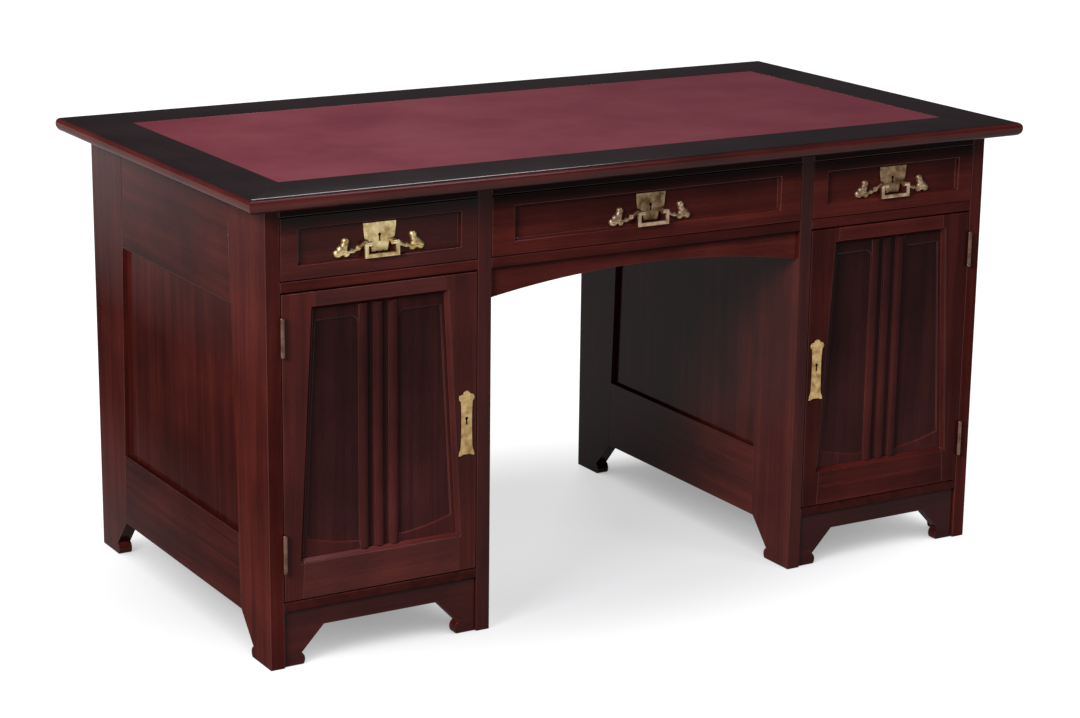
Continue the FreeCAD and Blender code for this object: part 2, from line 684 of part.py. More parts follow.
def door_pieces():
    """Pieces of the left door by name, with the bolt and its mortise."""
    core = DOOR_PANEL_CORE
    levels = ((DOOR_LOW, DOOR_OPEN_LOW), (DOOR_OPEN_HIGH, DOOR_HIGH))
    rails, tenons = rails_with_tenons(
        DOOR_SPAN, door_stile_width, levels, "y", (FRONT, DOOR_BACK), core,
        DOOR_TENON_LENGTH, DOOR_TENON_SHOULDER)
    groove = slab(door_opening(DOOR_GROOVE), "y", core)
    shaping = door_moulding() + [groove]
    outline = [
        (DOOR_SPAN[0], DOOR_LOW),
        (DOOR_SPAN[0] + DOOR_STILE_FOOT, DOOR_LOW),
        (DOOR_SPAN[0] + DOOR_STILE_HEAD, DOOR_HIGH),
        (DOOR_SPAN[0], DOOR_HIGH),
    ]
    plain_stile = slab(outline, "y", (FRONT, DOOR_BACK)).cut(shaping + tenons)
    block, channel, bolt, mortise = door_lock()
    key_cut = key_slot(ESCUTCHEON_X, LOCK_LEVEL, (FRONT, DOOR_BACK - DOOR_LOCK_DEPTH / 2))
    hinge_stile = plain_stile.cut(leaf_pockets(door_leaf_span()))
    lock_stile = plain_stile.mirror(Vector(BAY_MIDDLE, 0, 0), X_AXIS).cut([block, key_cut])
    pieces = {
        "door_stiles": [hinge_stile, lock_stile],
        "door_rails": [rail.cut(shaping) for rail in rails],
        "door_panel": [door_panel()],
        "door_lock_case": [block.cut([channel, key_cut])],
        "door_escutcheon": [escutcheon()],
        "door_bolt": [bolt],
    }
    return pieces, mortise


# Drawers

def drawer_tails(span):
    """Dovetails that join one drawer side to the front, within the side's thickness."""
    near = DRAWER_FRONT_BACK - DOVETAIL_LENGTH
    pitch = DRAWER_SIDE_HEIGHT / DOVETAIL_COUNT
    tails = []
    for number in range(DOVETAIL_COUNT):
        level = DRAWER_SPAN[0] + pitch * (number + 0.5)
        outline = [
            (DRAWER_FRONT_BACK, level - DOVETAIL_ROOT / 2),
            (near, level - DOVETAIL_TIP / 2),
            (near, level + DOVETAIL_TIP / 2),
            (DRAWER_FRONT_BACK, level + DOVETAIL_ROOT / 2),
        ]
        tails.append(slab(outline, "x", span))
    return tails


def sunk_front_field(span, margin):
    """Cutter for the sunk field of a drawer front, with sloping edges."""
    def rectangle(inset):
        low = DRAWER_FRONT_LOW + SUNK_FOOT_MARGIN + inset
        high = DRAWER_FRONT_HIGH - SUNK_HEAD_MARGIN - inset
        left = span[0] + margin + inset
        right = span[1] - margin - inset
        return [(left, low), (right, low), (right, high), (left, high)]
    return splayed(rectangle(0.0), rectangle(SUNK_BEVEL), "y", (FRONT, SUNK_FLOOR))


def drawer_lock(middle):
    """Lock case behind a drawer front, its bolt channel, the bolt and the mortise above it."""
    near = DRAWER_FRONT_BACK - DRAWER_LOCK_LET_IN
    depth = (near, near + DRAWER_LOCK_DEPTH)
    block = board(
        swollen((middle, middle), DRAWER_LOCK_WIDTH / 2),
        depth,
        (DRAWER_FRONT_HIGH - DRAWER_LOCK_HEIGHT, DRAWER_FRONT_HIGH))
    centre = sum(depth) / 2
    width = swollen((middle, middle), DRAWER_BOLT_WIDTH / 2)
    thickness = swollen((centre, centre), DRAWER_BOLT_THICKNESS / 2)
    tall = (DRAWER_FRONT_HIGH - BOLT_LENGTH, DRAWER_FRONT_HIGH)
    bolt = board(width, thickness, tall)
    channel = board(
        swollen(width, RUNNING_CLEARANCE),
        swollen(thickness, RUNNING_CLEARANCE),
        (tall[0] - RUNNING_CLEARANCE, tall[1]))
    thrown = DRAWER_FRONT_HIGH + BOLT_TRAVEL + MORTISE_SPARE_DEPTH
    mortise = board(
        swollen(width, MORTISE_PLAY),
        swollen(thickness, MORTISE_PLAY),
        (TOP_RAIL_SPAN[0], thrown))
    return block, channel, bolt, mortise


def lobe(x, z, radius, height):
    """Chased lobe of a leaf: a low facetted boss that rises from the sunk field towards the front."""
    def ring(size):
        turns = [2 * math.pi * number / LOBE_SIDES for number in range(LOBE_SIDES)]
        return [(x + size * math.cos(turn), z + size * math.sin(turn)) for turn in turns]
    return splayed(ring(radius), ring(radius * LOBE_CREST), "y", (SUNK_FLOOR, SUNK_FLOOR - height))


def pull_plate(middle):
    """Cast plate of a pull: keyhole plate, ears for the bail, and an arm with a leaf at each side."""
    shoulder = PLATE_TOP - PLATE_SHOULDER_DROP
    neck = PLATE_TOP - PLATE_NECK_DROP
    low = PLATE_TOP - PLATE_DROP
    bend = (middle + (PLATE_NECK + PLATE_SHOULDER) / 2, (shoulder + neck) / 2 + PLATE_HOLLOW)
    right = [
        (middle, PLATE_TOP),
        (middle + PLATE_HALF_WIDTH, PLATE_TOP),
        (middle + PLATE_SHOULDER, shoulder),
        (bend, (middle + PLATE_NECK, neck)),
        (middle + PLATE_FOOT, low),
        (middle, low),
    ]
    half = [slab(right, "y", (SUNK_FLOOR - PLATE_THICKNESS, SUNK_FLOOR))]

    ear = (middle + EAR_HALF_SPREAD - EAR_WIDTH, middle + EAR_HALF_SPREAD)
    tip = BAIL_Y - EAR_RADIUS
    ear_outline = [
        (SUNK_FLOOR, BAIL_Z - EAR_RADIUS),
        (tip + EAR_CHAMFER, BAIL_Z - EAR_RADIUS),
        (tip, BAIL_Z - EAR_RADIUS + EAR_CHAMFER),
        (tip, BAIL_Z + EAR_RADIUS - EAR_CHAMFER),
        (tip + EAR_CHAMFER, BAIL_Z + EAR_RADIUS),
        (SUNK_FLOOR, BAIL_Z + EAR_RADIUS),
    ]
    half.append(slab(ear_outline, "x", ear))

    start = middle + PLATE_FOOT / 2
    end = middle + ARM_REACH
    bow = (start + end) / 2
    arm = [
        (start, neck),
        (bow, neck - ARM_SAG + ARM_WIDTH),
        (end, neck - ARM_SAG + ARM_WIDTH),
        (end, neck - ARM_SAG),
        (bow, neck - ARM_SAG),
        (start, neck - ARM_WIDTH),
    ]
    half.append(slab(arm, "y", (SUNK_FLOOR - ARM_THICKNESS, SUNK_FLOOR)))
    for aside, drop, radius, height in LEAF_LOBES:
        half.append(lobe(middle + aside, PLATE_TOP - drop, radius, height))

    pin_hole = rod(
        BAIL_PIN_RADIUS + RUNNING_CLEARANCE,
        Vector(ear[1] - BAIL_PIN_LENGTH - RUNNING_CLEARANCE, BAIL_Y, BAIL_Z),
        Vector(ear[1], BAIL_Y, BAIL_Z))
    half = joined(half).cut(pin_hole)
    whole = joined([half, half.mirror(Vector(middle, 0, 0), X_AXIS)])
    return whole.cut(keyhole(middle, PLATE_TOP - KEYHOLE_DROP, (SUNK_FLOOR - PLATE_THICKNESS, SUNK_FLOOR)))


def bail(middle):
    """Hanging bail: a square bar bent twice, with a pin at each end that turns in an ear."""
    inside = EAR_HALF_SPREAD + RUNNING_CLEARANCE
    outside = inside + BAIL_BAR
    low = BAIL_Z - BAIL_DROP
    thickness = swollen((BAIL_Y, BAIL_Y), BAIL_BAR / 2)
    arm_span = (middle + inside, middle + outside)
    pin_start = Vector(arm_span[0] - BAIL_PIN_LENGTH, BAIL_Y, BAIL_Z)
    half = [
        board(arm_span, thickness, (low, BAIL_Z + BAIL_BAR / 2)),
        rod(BAIL_PIN_RADIUS, pin_start, Vector(arm_span[0], BAIL_Y, BAIL_Z)),
        board((middle, arm_span[1]), thickness, (low, low + BAIL_BAR)),
    ]
    half = joined(half)
    return joined([half, half.mirror(Vector(middle, 0, 0), X_AXIS)])


def drawer_pieces(opening, margin):
    """Pieces of one drawer by name, with the mortise that its bolt needs."""
    middle = sum(opening) / 2
    span = swollen(opening, -DRAWER_GAP)
    left = (span[0], span[0] + DRAWER_SIDE_THICKNESS)
    right = (span[1] - DRAWER_SIDE_THICKNESS, span[1])
    inside = (left[1], right[0])
    bottom_low = DRAWER_SPAN[0] + DRAWER_BOTTOM_RAISE
    bottom_high = bottom_low + DRAWER_BOTTOM_THICKNESS
    bottom = board(
        swollen(inside, DRAWER_BOTTOM_GROOVE),
        (DRAWER_FRONT_BACK - DRAWER_BOTTOM_GROOVE, DRAWER_END),
        (bottom_low, bottom_high))
    side_high = DRAWER_SPAN[0] + DRAWER_SIDE_HEIGHT
    back = board(
        inside,
        (DRAWER_END - DRAWER_SIDE_THICKNESS, DRAWER_END),
        (bottom_high, side_high - DRAWER_BACK_DROP))
    sides = []
    sockets = []
    for wall in (left, right):
        tails = drawer_tails(wall)
        plain = board(wall, (DRAWER_FRONT_BACK, DRAWER_END), (DRAWER_SPAN[0], side_high))
        sides.append(joined([plain] + tails).cut(bottom))
        sockets += tails

    block, channel, bolt, mortise = drawer_lock(middle)
    key_level = PLATE_TOP - KEYHOLE_DROP
    key_cut = key_slot(middle, key_level, (FRONT, DRAWER_FRONT_BACK))
    front = board(span, (FRONT, DRAWER_FRONT_BACK), (DRAWER_FRONT_LOW, DRAWER_FRONT_HIGH))
    front = front.cut([sunk_front_field(span, margin), bottom, block, key_cut] + sockets)
    pieces = {
        "drawer_front": [front],
        "drawer_box": sides + [back, bottom],
        "drawer_lock_case": [block.cut([channel, key_cut])],
        "drawer_bolt": [bolt],
        "drawer_pull": [pull_plate(middle)],
        "drawer_bail": [bail(middle)],
    }
    return pieces, mortise


# Assembly

def desk_nodes():
    """All solids of the desk by node name."""
    nodes = top_pieces()

    door, door_mortise = door_pieces()
    hinges = [hinge_parts(low) for low in HINGE_LOWS]
    door["door_hinge_leaves"] = [door_leaf for _, door_leaf, _ in hinges]
    for name, solids in door.items():
        nodes["left_" + name] = solids
        nodes["right_" + name] = [across_desk(solid) for solid in solids]
    nodes["hinge_frame_leaves"] = both_sides([frame_leaf for frame_leaf, _, _ in hinges])
    nodes["hinge_pins"] = both_sides([pin for _, _, pin in hinges])

    back_rails, back_panel = back_pieces()
    nodes["back_rails"] = both_sides(back_rails)
    nodes["back_panels"] = both_sides([back_panel])
    cuts = {"outer": leaf_pockets(frame_leaf_span()), "inner": [door_mortise]}
    for side, span in (("outer", OUTER_SPAN), ("inner", INNER_SPAN)):
        front_stile, back_stile, rails, panel = side_frame(span)
        frame = [front_stile.cut(cuts[side]), back_stile.cut(back_panel)] + rails
        nodes["left_%s_frame" % side] = frame
        nodes["right_%s_frame" % side] = [across_desk(solid) for solid in frame]
        nodes["left_%s_panel" % side] = [panel]
        nodes["right_%s_panel" % side] = [across_desk(panel)]

    nodes["plinth_aprons"] = both_sides([plinth_apron()])
    nodes["cupboard_floors"] = both_sides([rounded_nose(board(BAY, (FRONT, BACK_INSIDE), FLOOR_SPAN))])
    nodes["cupboard_shelves"] = both_sides([cupboard_shelf()])
    nodes["shelf_cleats"] = both_sides(shelf_cleats())
    nodes["arched_apron"] = [arched_apron()]
    nodes["kneehole_back_rail"] = [board(KNEEHOLE, (BACK_INSIDE, BACK), (DRAWER_RAIL_SPAN[0], CARCASS_TOP))]

    drawer_rails = []
    top_rails = []
    runners = []
    right_bay = (-BAY[1], -BAY[0])
    openings = (
        ("left", BAY, PEDESTAL_DRAWER_MARGIN),
        ("centre", KNEEHOLE, CENTRE_DRAWER_MARGIN),
        ("right", right_bay, PEDESTAL_DRAWER_MARGIN),
    )
    for place, opening, margin in openings:
        drawer, bolt_mortise = drawer_pieces(opening, margin)
        for name, solids in drawer.items():
            nodes["%s_%s" % (place, name)] = solids
        drawer_rails.append(rounded_nose(board(opening, RAIL_REACH, DRAWER_RAIL_SPAN)))
        top_rails.append(board(opening, RAIL_REACH, TOP_RAIL_SPAN).cut(bolt_mortise))
        runners += runners_in(opening)
    nodes["drawer_rails"] = drawer_rails
    nodes["top_rails"] = top_rails
    nodes["drawer_runners"] = runners
    return nodes


os.makedirs("parts", exist_ok=True)
for node_name, node_solids in desk_nodes().items():
    Part.makeCompound(node_solids).exportStep("parts/%s.step" % node_name)
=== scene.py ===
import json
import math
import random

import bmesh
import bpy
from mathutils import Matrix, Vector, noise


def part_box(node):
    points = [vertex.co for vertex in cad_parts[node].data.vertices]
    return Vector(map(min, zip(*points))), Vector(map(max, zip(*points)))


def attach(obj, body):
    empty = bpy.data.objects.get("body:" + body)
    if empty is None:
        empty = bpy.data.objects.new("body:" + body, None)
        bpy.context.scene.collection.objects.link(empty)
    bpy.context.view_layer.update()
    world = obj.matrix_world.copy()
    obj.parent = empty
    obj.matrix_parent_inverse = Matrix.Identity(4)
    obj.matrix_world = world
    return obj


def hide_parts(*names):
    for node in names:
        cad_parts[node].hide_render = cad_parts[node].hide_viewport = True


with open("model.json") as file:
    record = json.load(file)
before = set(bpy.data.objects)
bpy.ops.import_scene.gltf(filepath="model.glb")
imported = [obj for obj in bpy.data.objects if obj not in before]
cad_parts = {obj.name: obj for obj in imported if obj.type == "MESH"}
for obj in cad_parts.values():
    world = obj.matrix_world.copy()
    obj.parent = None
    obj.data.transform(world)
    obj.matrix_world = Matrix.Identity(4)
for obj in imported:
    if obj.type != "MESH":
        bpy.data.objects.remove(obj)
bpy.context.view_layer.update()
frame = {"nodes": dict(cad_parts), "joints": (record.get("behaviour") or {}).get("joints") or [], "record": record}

# %% [markdown]
# # A pedestal writing desk
# The desk is joined from mahogany boards: two cupboards on bracket feet carry a top with a red writing
# leather, and three drawers with brass pulls run under it. The CAD model brings every piece in its place.
# This lesson dresses it: it eases the sharp edges, gives every board its own grain, models the brass as
# fine relief, and lights the desk softly in a white studio.

MM = 0.001

# %% [markdown]
# ## Small tools for materials
# Colours are given as hex codes, which are in sRGB, while the renderer works with linear light.
# One function turns the one into the other. A second one adds a shader node, fills its sockets, links it
# and gives a colour ramp its stops, so that each material below reads like a short recipe.

# %% Colour and node tools


def colour(code):
    """Linear colour from an sRGB hex code."""
    shares = [int(code[place:place + 2], 16) / 255 for place in (1, 3, 5)]
    linear = [share / 12.92 if share <= 0.04045 else ((share + 0.055) / 1.055) ** 2.4 for share in shares]
    return (*linear, 1.0)


def add(tree, kind, sockets=None, stops=(), **settings):
    """Shader node of a kind, with its settings and, for a colour ramp, its stops.

    A socket takes a value, another node's output, or a node for that node's first output.
    """
    node = tree.nodes.new("ShaderNode" + kind)
    for name, value in settings.items():
        setattr(node, name, value)
    for name, value in (sockets or {}).items():
        if isinstance(value, bpy.types.Node):
            value = value.outputs[0]
        if isinstance(value, bpy.types.NodeSocket):
            tree.links.new(value, node.inputs[name])
        else:
            node.inputs[name].default_value = value
    if stops:
        ramp = node.color_ramp.elements
        while len(ramp) < len(stops):
            ramp.new(0.5)
        for element, (place, code) in zip(ramp, stops):
            element.position = place
            element.color = colour(code)
    return node


def blank_material(name):
    """Material with an empty node tree."""
    material = bpy.data.materials.new(name)
    material.use_nodes = True
    material.node_tree.nodes.clear()
    return material, material.node_tree


print("the sRGB grey #808080 is", round(colour("#808080")[0], 3), "in linear light")

# %% [markdown]
# ## French-polished mahogany
# The boards are mahogany, stained dark and polished with shellac. Shellac gives a clear, deep shine that
# age has thinned. The grain runs along each board: broad dark and light ribbons, finer streaks, and short
# dark pores. Each board carries its own grain coordinates (made further below), with the first running
# along the board, so one recipe serves upright and lying boards alike. The shine is a thin clear coat over
# matt wood; with little weight it mirrors faintly, as old polish does.

# %% Mahogany recipe
RIBBON_MM = (560.0, 19.0)
STREAK_MM = (110.0, 2.8)
# Real pores are about 0.3 mm wide; they are drawn wider so that they show in the picture.
PORE_MM = (16.0, 1.1)
MOTTLE_MM = (150.0, 150.0)
STREAK_SHARE = 0.3
POLISH = 0.07


def along_grain(tree, size, detail, roughness, distortion):
    """Noise in a board's grain coordinates, of a length and a width in millimetres."""
    length, width = size
    grain = add(tree, "Attribute", attribute_name="grain").outputs["Vector"]
    scale = (1 / (length * MM), 1 / (width * MM), 1 / (width * MM))
    place = add(tree, "VectorMath", {0: grain, 1: scale}, operation="MULTIPLY")
    return add(tree, "TexNoise", {
        "Vector": place, "Scale": 1.0, "Detail": detail, "Roughness": roughness, "Distortion": distortion})


def mahogany(name, dark, body, light, polish=POLISH, by_board=False):
    """Polished mahogany in three tones; its clear coat is the same all over, or differs by board."""
    material, tree = blank_material(name)
    ribbon = along_grain(tree, RIBBON_MM, 4.0, 0.5, 0.5)
    streak = along_grain(tree, STREAK_MM, 3.0, 0.6, 0.2)
    pore = along_grain(tree, PORE_MM, 1.0, 0.5, 0.0)
    mottle = along_grain(tree, MOTTLE_MM, 3.0, 0.5, 0.0)

    figure = add(tree, "Mix", {"Factor": STREAK_SHARE, "A": ribbon, "B": streak}, data_type="FLOAT")
    wood = add(tree, "ValToRGB", {"Fac": figure}, stops=((0.22, dark), (0.5, body), (0.78, light)))
    pore_dark = add(tree, "MapRange", {
        "Value": pore, "From Min": 0.56, "From Max": 0.68, "To Min": 1.0, "To Max": 0.78})
    cloud = add(tree, "MapRange", {
        "Value": mottle, "From Min": 0.3, "From Max": 0.7, "To Min": 0.7, "To Max": 1.24})
    shade = add(tree, "Math", {0: pore_dark, 1: cloud}, operation="MULTIPLY")
    board_tone = add(tree, "Attribute", attribute_name="tone").outputs["Fac"]
    shade = add(tree, "Math", {0: shade, 1: board_tone}, operation="MULTIPLY")
    finished = add(tree, "VectorMath", {0: wood, "Scale": shade}, operation="SCALE")

    coat = polish
    if by_board:
        board_polish = add(tree, "Attribute", attribute_name="polish").outputs["Fac"]
        coat = add(tree, "Math", {0: board_polish, 1: polish}, operation="MULTIPLY")
    gloss = add(tree, "MapRange", {
        "Value": mottle, "From Min": 0.3, "From Max": 0.7, "To Min": 0.34, "To Max": 0.5})
    relief = add(tree, "Bump", {"Height": pore_dark, "Strength": 0.2, "Distance": 0.12 * MM})
    shader = add(tree, "BsdfPrincipled", {
        "Base Color": finished, "Roughness": gloss, "Normal": relief, "IOR": 1.5, "Specular IOR Level": 0.0,
        "Coat Weight": coat, "Coat Roughness": 0.16, "Coat Normal": relief})
    add(tree, "OutputMaterial", {"Surface": shader})
    return material


print("grain ribbons are", RIBBON_MM[1], "mm wide")

# %% [markdown]
# The same stained wood has several finishes. Eased edges are rubbed by every cloth, so they are
# paler and shine more. Inside the door frames the wood is darker: darkest in the sunk fields, less on the
# reeds between them. Around the kneehole no sleeve and little sun have reached the shellac, so it still
# mirrors more. Each is the same recipe with tones or a polish of its own.

# %% Mahogany finishes
STAINED = ("#2c0f0d", "#431713", "#58231c")
polished_mahogany = mahogany("french_polished_mahogany", *STAINED, by_board=True)
burnished_mahogany = mahogany("burnished_mahogany_arris", "#31110e", "#481a15", "#5c271e", polish=0.4)
sunk_mahogany = mahogany("dark_mahogany_in_sunk_field", "#241110", "#361817", "#45211e")
reed_mahogany = mahogany("darker_mahogany_on_reeds", "#2b1514", "#3d1918", "#4e211e")
kneehole_mahogany = mahogany("kneehole_mahogany_unworn", *STAINED, polish=0.18)
woods = (polished_mahogany, burnished_mahogany, sunk_mahogany, reed_mahogany, kneehole_mahogany)
print("made", [wood.name for wood in woods])

# %% [markdown]
# ## The darkened border of the top
# The border boards are the same mahogany, but their upper face is painted almost black, a painted reflection
# of the dark room that the polish mirrors at a low angle, while the rounded edge still shows red. The recipe
# mixes the two by how far the surface faces upwards. The painted black takes the pores and clouds of the
# wood below it, so the grain still shows.

# %% Border recipe
BORDER_TOP_PAINTED_DARK = "#161215"
BORDER_POLISH = 0.28


def shader_of(material):
    """Surface shader of a mahogany, for a recipe that goes on from there."""
    return next(node for node in material.node_tree.nodes if node.type == "BSDF_PRINCIPLED")


def darkened_border(name, *tones):
    """Mahogany whose upward faces are painted dark."""
    material = mahogany(name, *tones, polish=BORDER_POLISH)
    tree = material.node_tree
    shader = shader_of(material)
    wood = shader.inputs["Base Color"].links[0].from_socket
    shade = wood.node.inputs["Scale"].links[0].from_socket
    normal = add(tree, "NewGeometry").outputs["Normal"]
    upward = add(tree, "SeparateXYZ", {0: normal}).outputs["Z"]
    # Painted dark reflection: the more a face looks upwards, the nearer to black it is painted.
    painted_dark_share = add(tree, "MapRange", {
        "Value": upward, "From Min": 0.6, "From Max": 0.97, "To Min": 0.0, "To Max": 0.92})
    painted_dark = add(tree, "VectorMath", {0: colour(BORDER_TOP_PAINTED_DARK)[:3], "Scale": shade}, operation="SCALE")
    mixed = add(tree, "Mix", {"Factor": painted_dark_share, 6: wood, 7: painted_dark}, data_type="RGBA")
    tree.links.new(mixed.outputs[2], shader.inputs["Base Color"])
    return material


border_mahogany = darkened_border("mahogany_border_painted_dark_on_top", "#2f110f", "#491a17", "#5e2821")
print("made", border_mahogany.name)

# %% [markdown]
# The overhang of the top shades the drawer fronts and top rails just under it, and that shadow is painted
# here. The recipe is the plain mahogany, darkened towards that height.

# %% Painted shadow under the overhang
OVERHANG_SHADOW_RISE = (704 * MM, 736 * MM)
OVERHANG_SHADOW_SHARE = 0.15


def painted_shadow_under_top(name, *tones):
    """Mahogany with a painted shadow that darkens it towards the underside of the top."""
    material = mahogany(name, *tones, by_board=True)
    tree = material.node_tree
    shader = shader_of(material)
    wood = shader.inputs["Base Color"].links[0].from_socket
    place = add(tree, "TexCoord").outputs["Object"]
    height = add(tree, "SeparateXYZ", {0: place}).outputs["Z"]
    # Painted shadow: the wood darkens towards the underside of the top, where the overhang shades it.
    unshadowed = add(tree, "MapRange", {
        "Value": height, "From Min": OVERHANG_SHADOW_RISE[0], "From Max": OVERHANG_SHADOW_RISE[1],
        "To Min": 1.0, "To Max": OVERHANG_SHADOW_SHARE}, interpolation_type="SMOOTHSTEP")
    darkened = add(tree, "VectorMath", {0: wood, "Scale": unshadowed}, operation="SCALE")
    tree.links.new(darkened.outputs[0], shader.inputs["Base Color"])
    return material


drawer_mahogany = painted_shadow_under_top("mahogany_painted_shadow_under_overhang", "#2f0f0d", "#461814", "#5a231b")
print("made", drawer_mahogany.name)

# %% [markdown]
# On the two ends the shellac is deepest under the overhang and towards the back, where nobody brushes past.
# There it mirrors the pale room as a soft grey veil, and a fainter one lies near the feet. The recipe lets
# the weight of the clear coat grow with the height and the depth.

# %% Sheltered polish of the ends
SHELTER_RISE = (450 * MM, 720 * MM)
FOOT_RISE = (0.0, 300 * MM)
FOOT_SHARE = 0.45
SHELTER_DEPTH = (-360 * MM, 360 * MM)
SHELTER_POLISH = (0.08, 0.34)
RUBBED_POLISH = 0.02


def sheltered_end(name, *tones):
    """Mahogany whose clear coat is deeper under the overhang and towards the back."""
    material = mahogany(name, *tones)
    tree = material.node_tree
    place = add(tree, "TexCoord").outputs["Object"]
    way = add(tree, "SeparateXYZ", {0: place}).outputs
    risen = add(tree, "MapRange", {
        "Value": way["Z"], "From Min": SHELTER_RISE[0], "From Max": SHELTER_RISE[1]})
    low = add(tree, "MapRange", {
        "Value": way["Z"], "From Min": FOOT_RISE[0], "From Max": FOOT_RISE[1], "To Min": FOOT_SHARE,
        "To Max": 0.0})
    kept = add(tree, "Math", {0: risen, 1: low}, operation="ADD")
    deep = add(tree, "MapRange", {
        "Value": way["Y"], "From Min": SHELTER_DEPTH[0], "From Max": SHELTER_DEPTH[1],
        "To Min": SHELTER_POLISH[0], "To Max": SHELTER_POLISH[1]})
    coat = add(tree, "Math", {0: kept, 1: deep, 2: RUBBED_POLISH}, operation="MULTIPLY_ADD")
    tree.links.new(coat.outputs[0], shader_of(material).inputs["Coat Weight"])
    return material


end_mahogany = sheltered_end("mahogany_sheltered_under_overhang", *STAINED)
print("made", end_mahogany.name)

# %% [markdown]
# ## Plain wood inside
# Drawer boxes, runners and cleats are of a cheaper pale wood, planed and left raw. It is matt, with soft
# lengthwise streaks and a little dust and handling.

# %% Raw drawer wood recipe
RAW_STREAK_MM = (140.0, 4.0)


def planed_oak(name):
    """Raw oak as it comes from the plane."""
    material, tree = blank_material(name)
    streak = along_grain(tree, RAW_STREAK_MM, 5.0, 0.65, 0.3)
    wood = add(tree, "ValToRGB", {"Fac": streak}, stops=(
        (0.3, "#7a5a3a"), (0.5, "#a47f55"), (0.7, "#bb9a6e")))
    relief = add(tree, "Bump", {"Height": streak, "Strength": 0.3, "Distance": 0.2 * MM})
    shader = add(tree, "BsdfPrincipled", {
        "Base Color": wood, "Roughness": 0.7, "Normal": relief, "IOR": 1.5})
    add(tree, "OutputMaterial", {"Surface": shader})
    return material


raw_oak = planed_oak("planed_raw_oak")
print("made", raw_oak.name)

# %% [markdown]
# ## Writing leather
# The inset is a thin skiver of red-dyed sheepskin, glued down and polished by use. It has a fine pebble,
# cloudy patches where the dye has faded, and a few long scuffs. Its pebble is about 1 mm on the real skin
# and is drawn coarser here, so that it still shows from across the room.

# %% Leather recipe
PEBBLE_MM = 2.2
FADE_MM = 190.0
SCUFF_MM = (260.0, 9.0)
SCUFF_TURN = 0.5
# Painted shade: the leather is darker towards its right end, as the light falls off there.
LIGHT_FALLOFF_REACH = (-300 * MM, 650 * MM)
RIGHT_END_PAINTED_SHADE = 0.78


def dyed_skiver(name):
    """Red writing leather, faded in clouds."""
    material, tree = blank_material(name)
    place = add(tree, "TexCoord").outputs["Object"]
    fade = add(tree, "TexNoise", {
        "Vector": place, "Scale": 1 / (FADE_MM * MM), "Detail": 5.0, "Roughness": 0.6})
    leather = add(tree, "ValToRGB", {"Fac": fade}, stops=(
        (0.3, "#6f343e"), (0.5, "#793b44"), (0.7, "#7f424a")))
    turned = add(tree, "Mapping", {
        "Vector": place, "Rotation": (0.0, 0.0, SCUFF_TURN),
        "Scale": (1 / (SCUFF_MM[0] * MM), 1 / (SCUFF_MM[1] * MM), 1.0)})
    scuff = add(tree, "TexNoise", {"Vector": turned, "Scale": 1.0, "Detail": 3.0, "Roughness": 0.7})
    scuffed = add(tree, "MapRange", {
        "Value": scuff, "From Min": 0.66, "From Max": 0.78, "To Min": 0.0, "To Max": 0.45})
    worn = add(tree, "Mix", {
        "Factor": scuffed, 6: leather, 7: colour("#894c53")}, data_type="RGBA").outputs[2]
    # Painted shade: the leather darkens towards its right end.
    across = add(tree, "SeparateXYZ", {0: place}).outputs["X"]
    painted_falloff = add(tree, "MapRange", {
        "Value": across, "From Min": LIGHT_FALLOFF_REACH[0], "From Max": LIGHT_FALLOFF_REACH[1], "To Min": 1.0,
        "To Max": RIGHT_END_PAINTED_SHADE})
    worn = add(tree, "VectorMath", {0: worn, "Scale": painted_falloff}, operation="SCALE")
    pebble = add(tree, "TexVoronoi", {"Vector": place, "Scale": 1 / (PEBBLE_MM * MM)}, feature="SMOOTH_F1")
    relief = add(tree, "Bump", {"Height": pebble, "Strength": 0.35, "Distance": 0.25 * MM}, invert=True)
    gloss = add(tree, "MapRange", {
        "Value": fade, "From Min": 0.3, "From Max": 0.7, "To Min": 0.62, "To Max": 0.48})
    shader = add(tree, "BsdfPrincipled", {
        "Base Color": worn, "Roughness": gloss, "Normal": relief, "IOR": 1.45, "Specular IOR Level": 0.0,
        "Coat Weight": 0.03, "Coat Roughness": 0.4, "Coat Normal": relief})
    add(tree, "OutputMaterial", {"Surface": shader})
    return material


red_leather = dyed_skiver("red_dyed_skiver")
print("made", red_leather.name)

# %% [markdown]
# ## Brass and iron
# The pulls and keyhole plates are sand-cast brass, chased by hand and once polished. The high places are
# still bright from fingers; the low ones have gone brown. The locks are filed iron.

# %% Metal recipes
TARNISH_MM = 14.0
CASTING_MM = 1.6
FILE_MM = (30.0, 1.2)


def chased_brass(name, low, body, high):
    """Cast brass in three tones: the low places, the body and the high places."""
    material, tree = blank_material(name)
    place = add(tree, "TexCoord").outputs["Object"]
    tarnish = add(tree, "TexNoise", {
        "Vector": place, "Scale": 1 / (TARNISH_MM * MM), "Detail": 3.0, "Roughness": 0.55})
    height = add(tree, "NewGeometry").outputs["Pointiness"]
    exposed = add(tree, "MapRange", {
        "Value": height, "From Min": 0.46, "From Max": 0.54, "To Min": -0.2, "To Max": 0.2})
    polish = add(tree, "Math", {0: tarnish, 1: exposed}, operation="ADD")
    metal = add(tree, "ValToRGB", {"Fac": polish}, stops=((0.22, low), (0.5, body), (0.8, high)))
    gloss = add(tree, "MapRange", {
        "Value": polish, "From Min": 0.3, "From Max": 0.65, "To Min": 0.58, "To Max": 0.42})
    casting = add(tree, "TexNoise", {"Vector": place, "Scale": 1 / (CASTING_MM * MM), "Detail": 2.0})
    relief = add(tree, "Bump", {"Height": casting, "Strength": 0.15, "Distance": 0.15 * MM})
    shader = add(tree, "BsdfPrincipled", {
        "Base Color": metal, "Metallic": 1.0, "Roughness": gloss, "Normal": relief})
    add(tree, "OutputMaterial", {"Surface": shader})
    return material


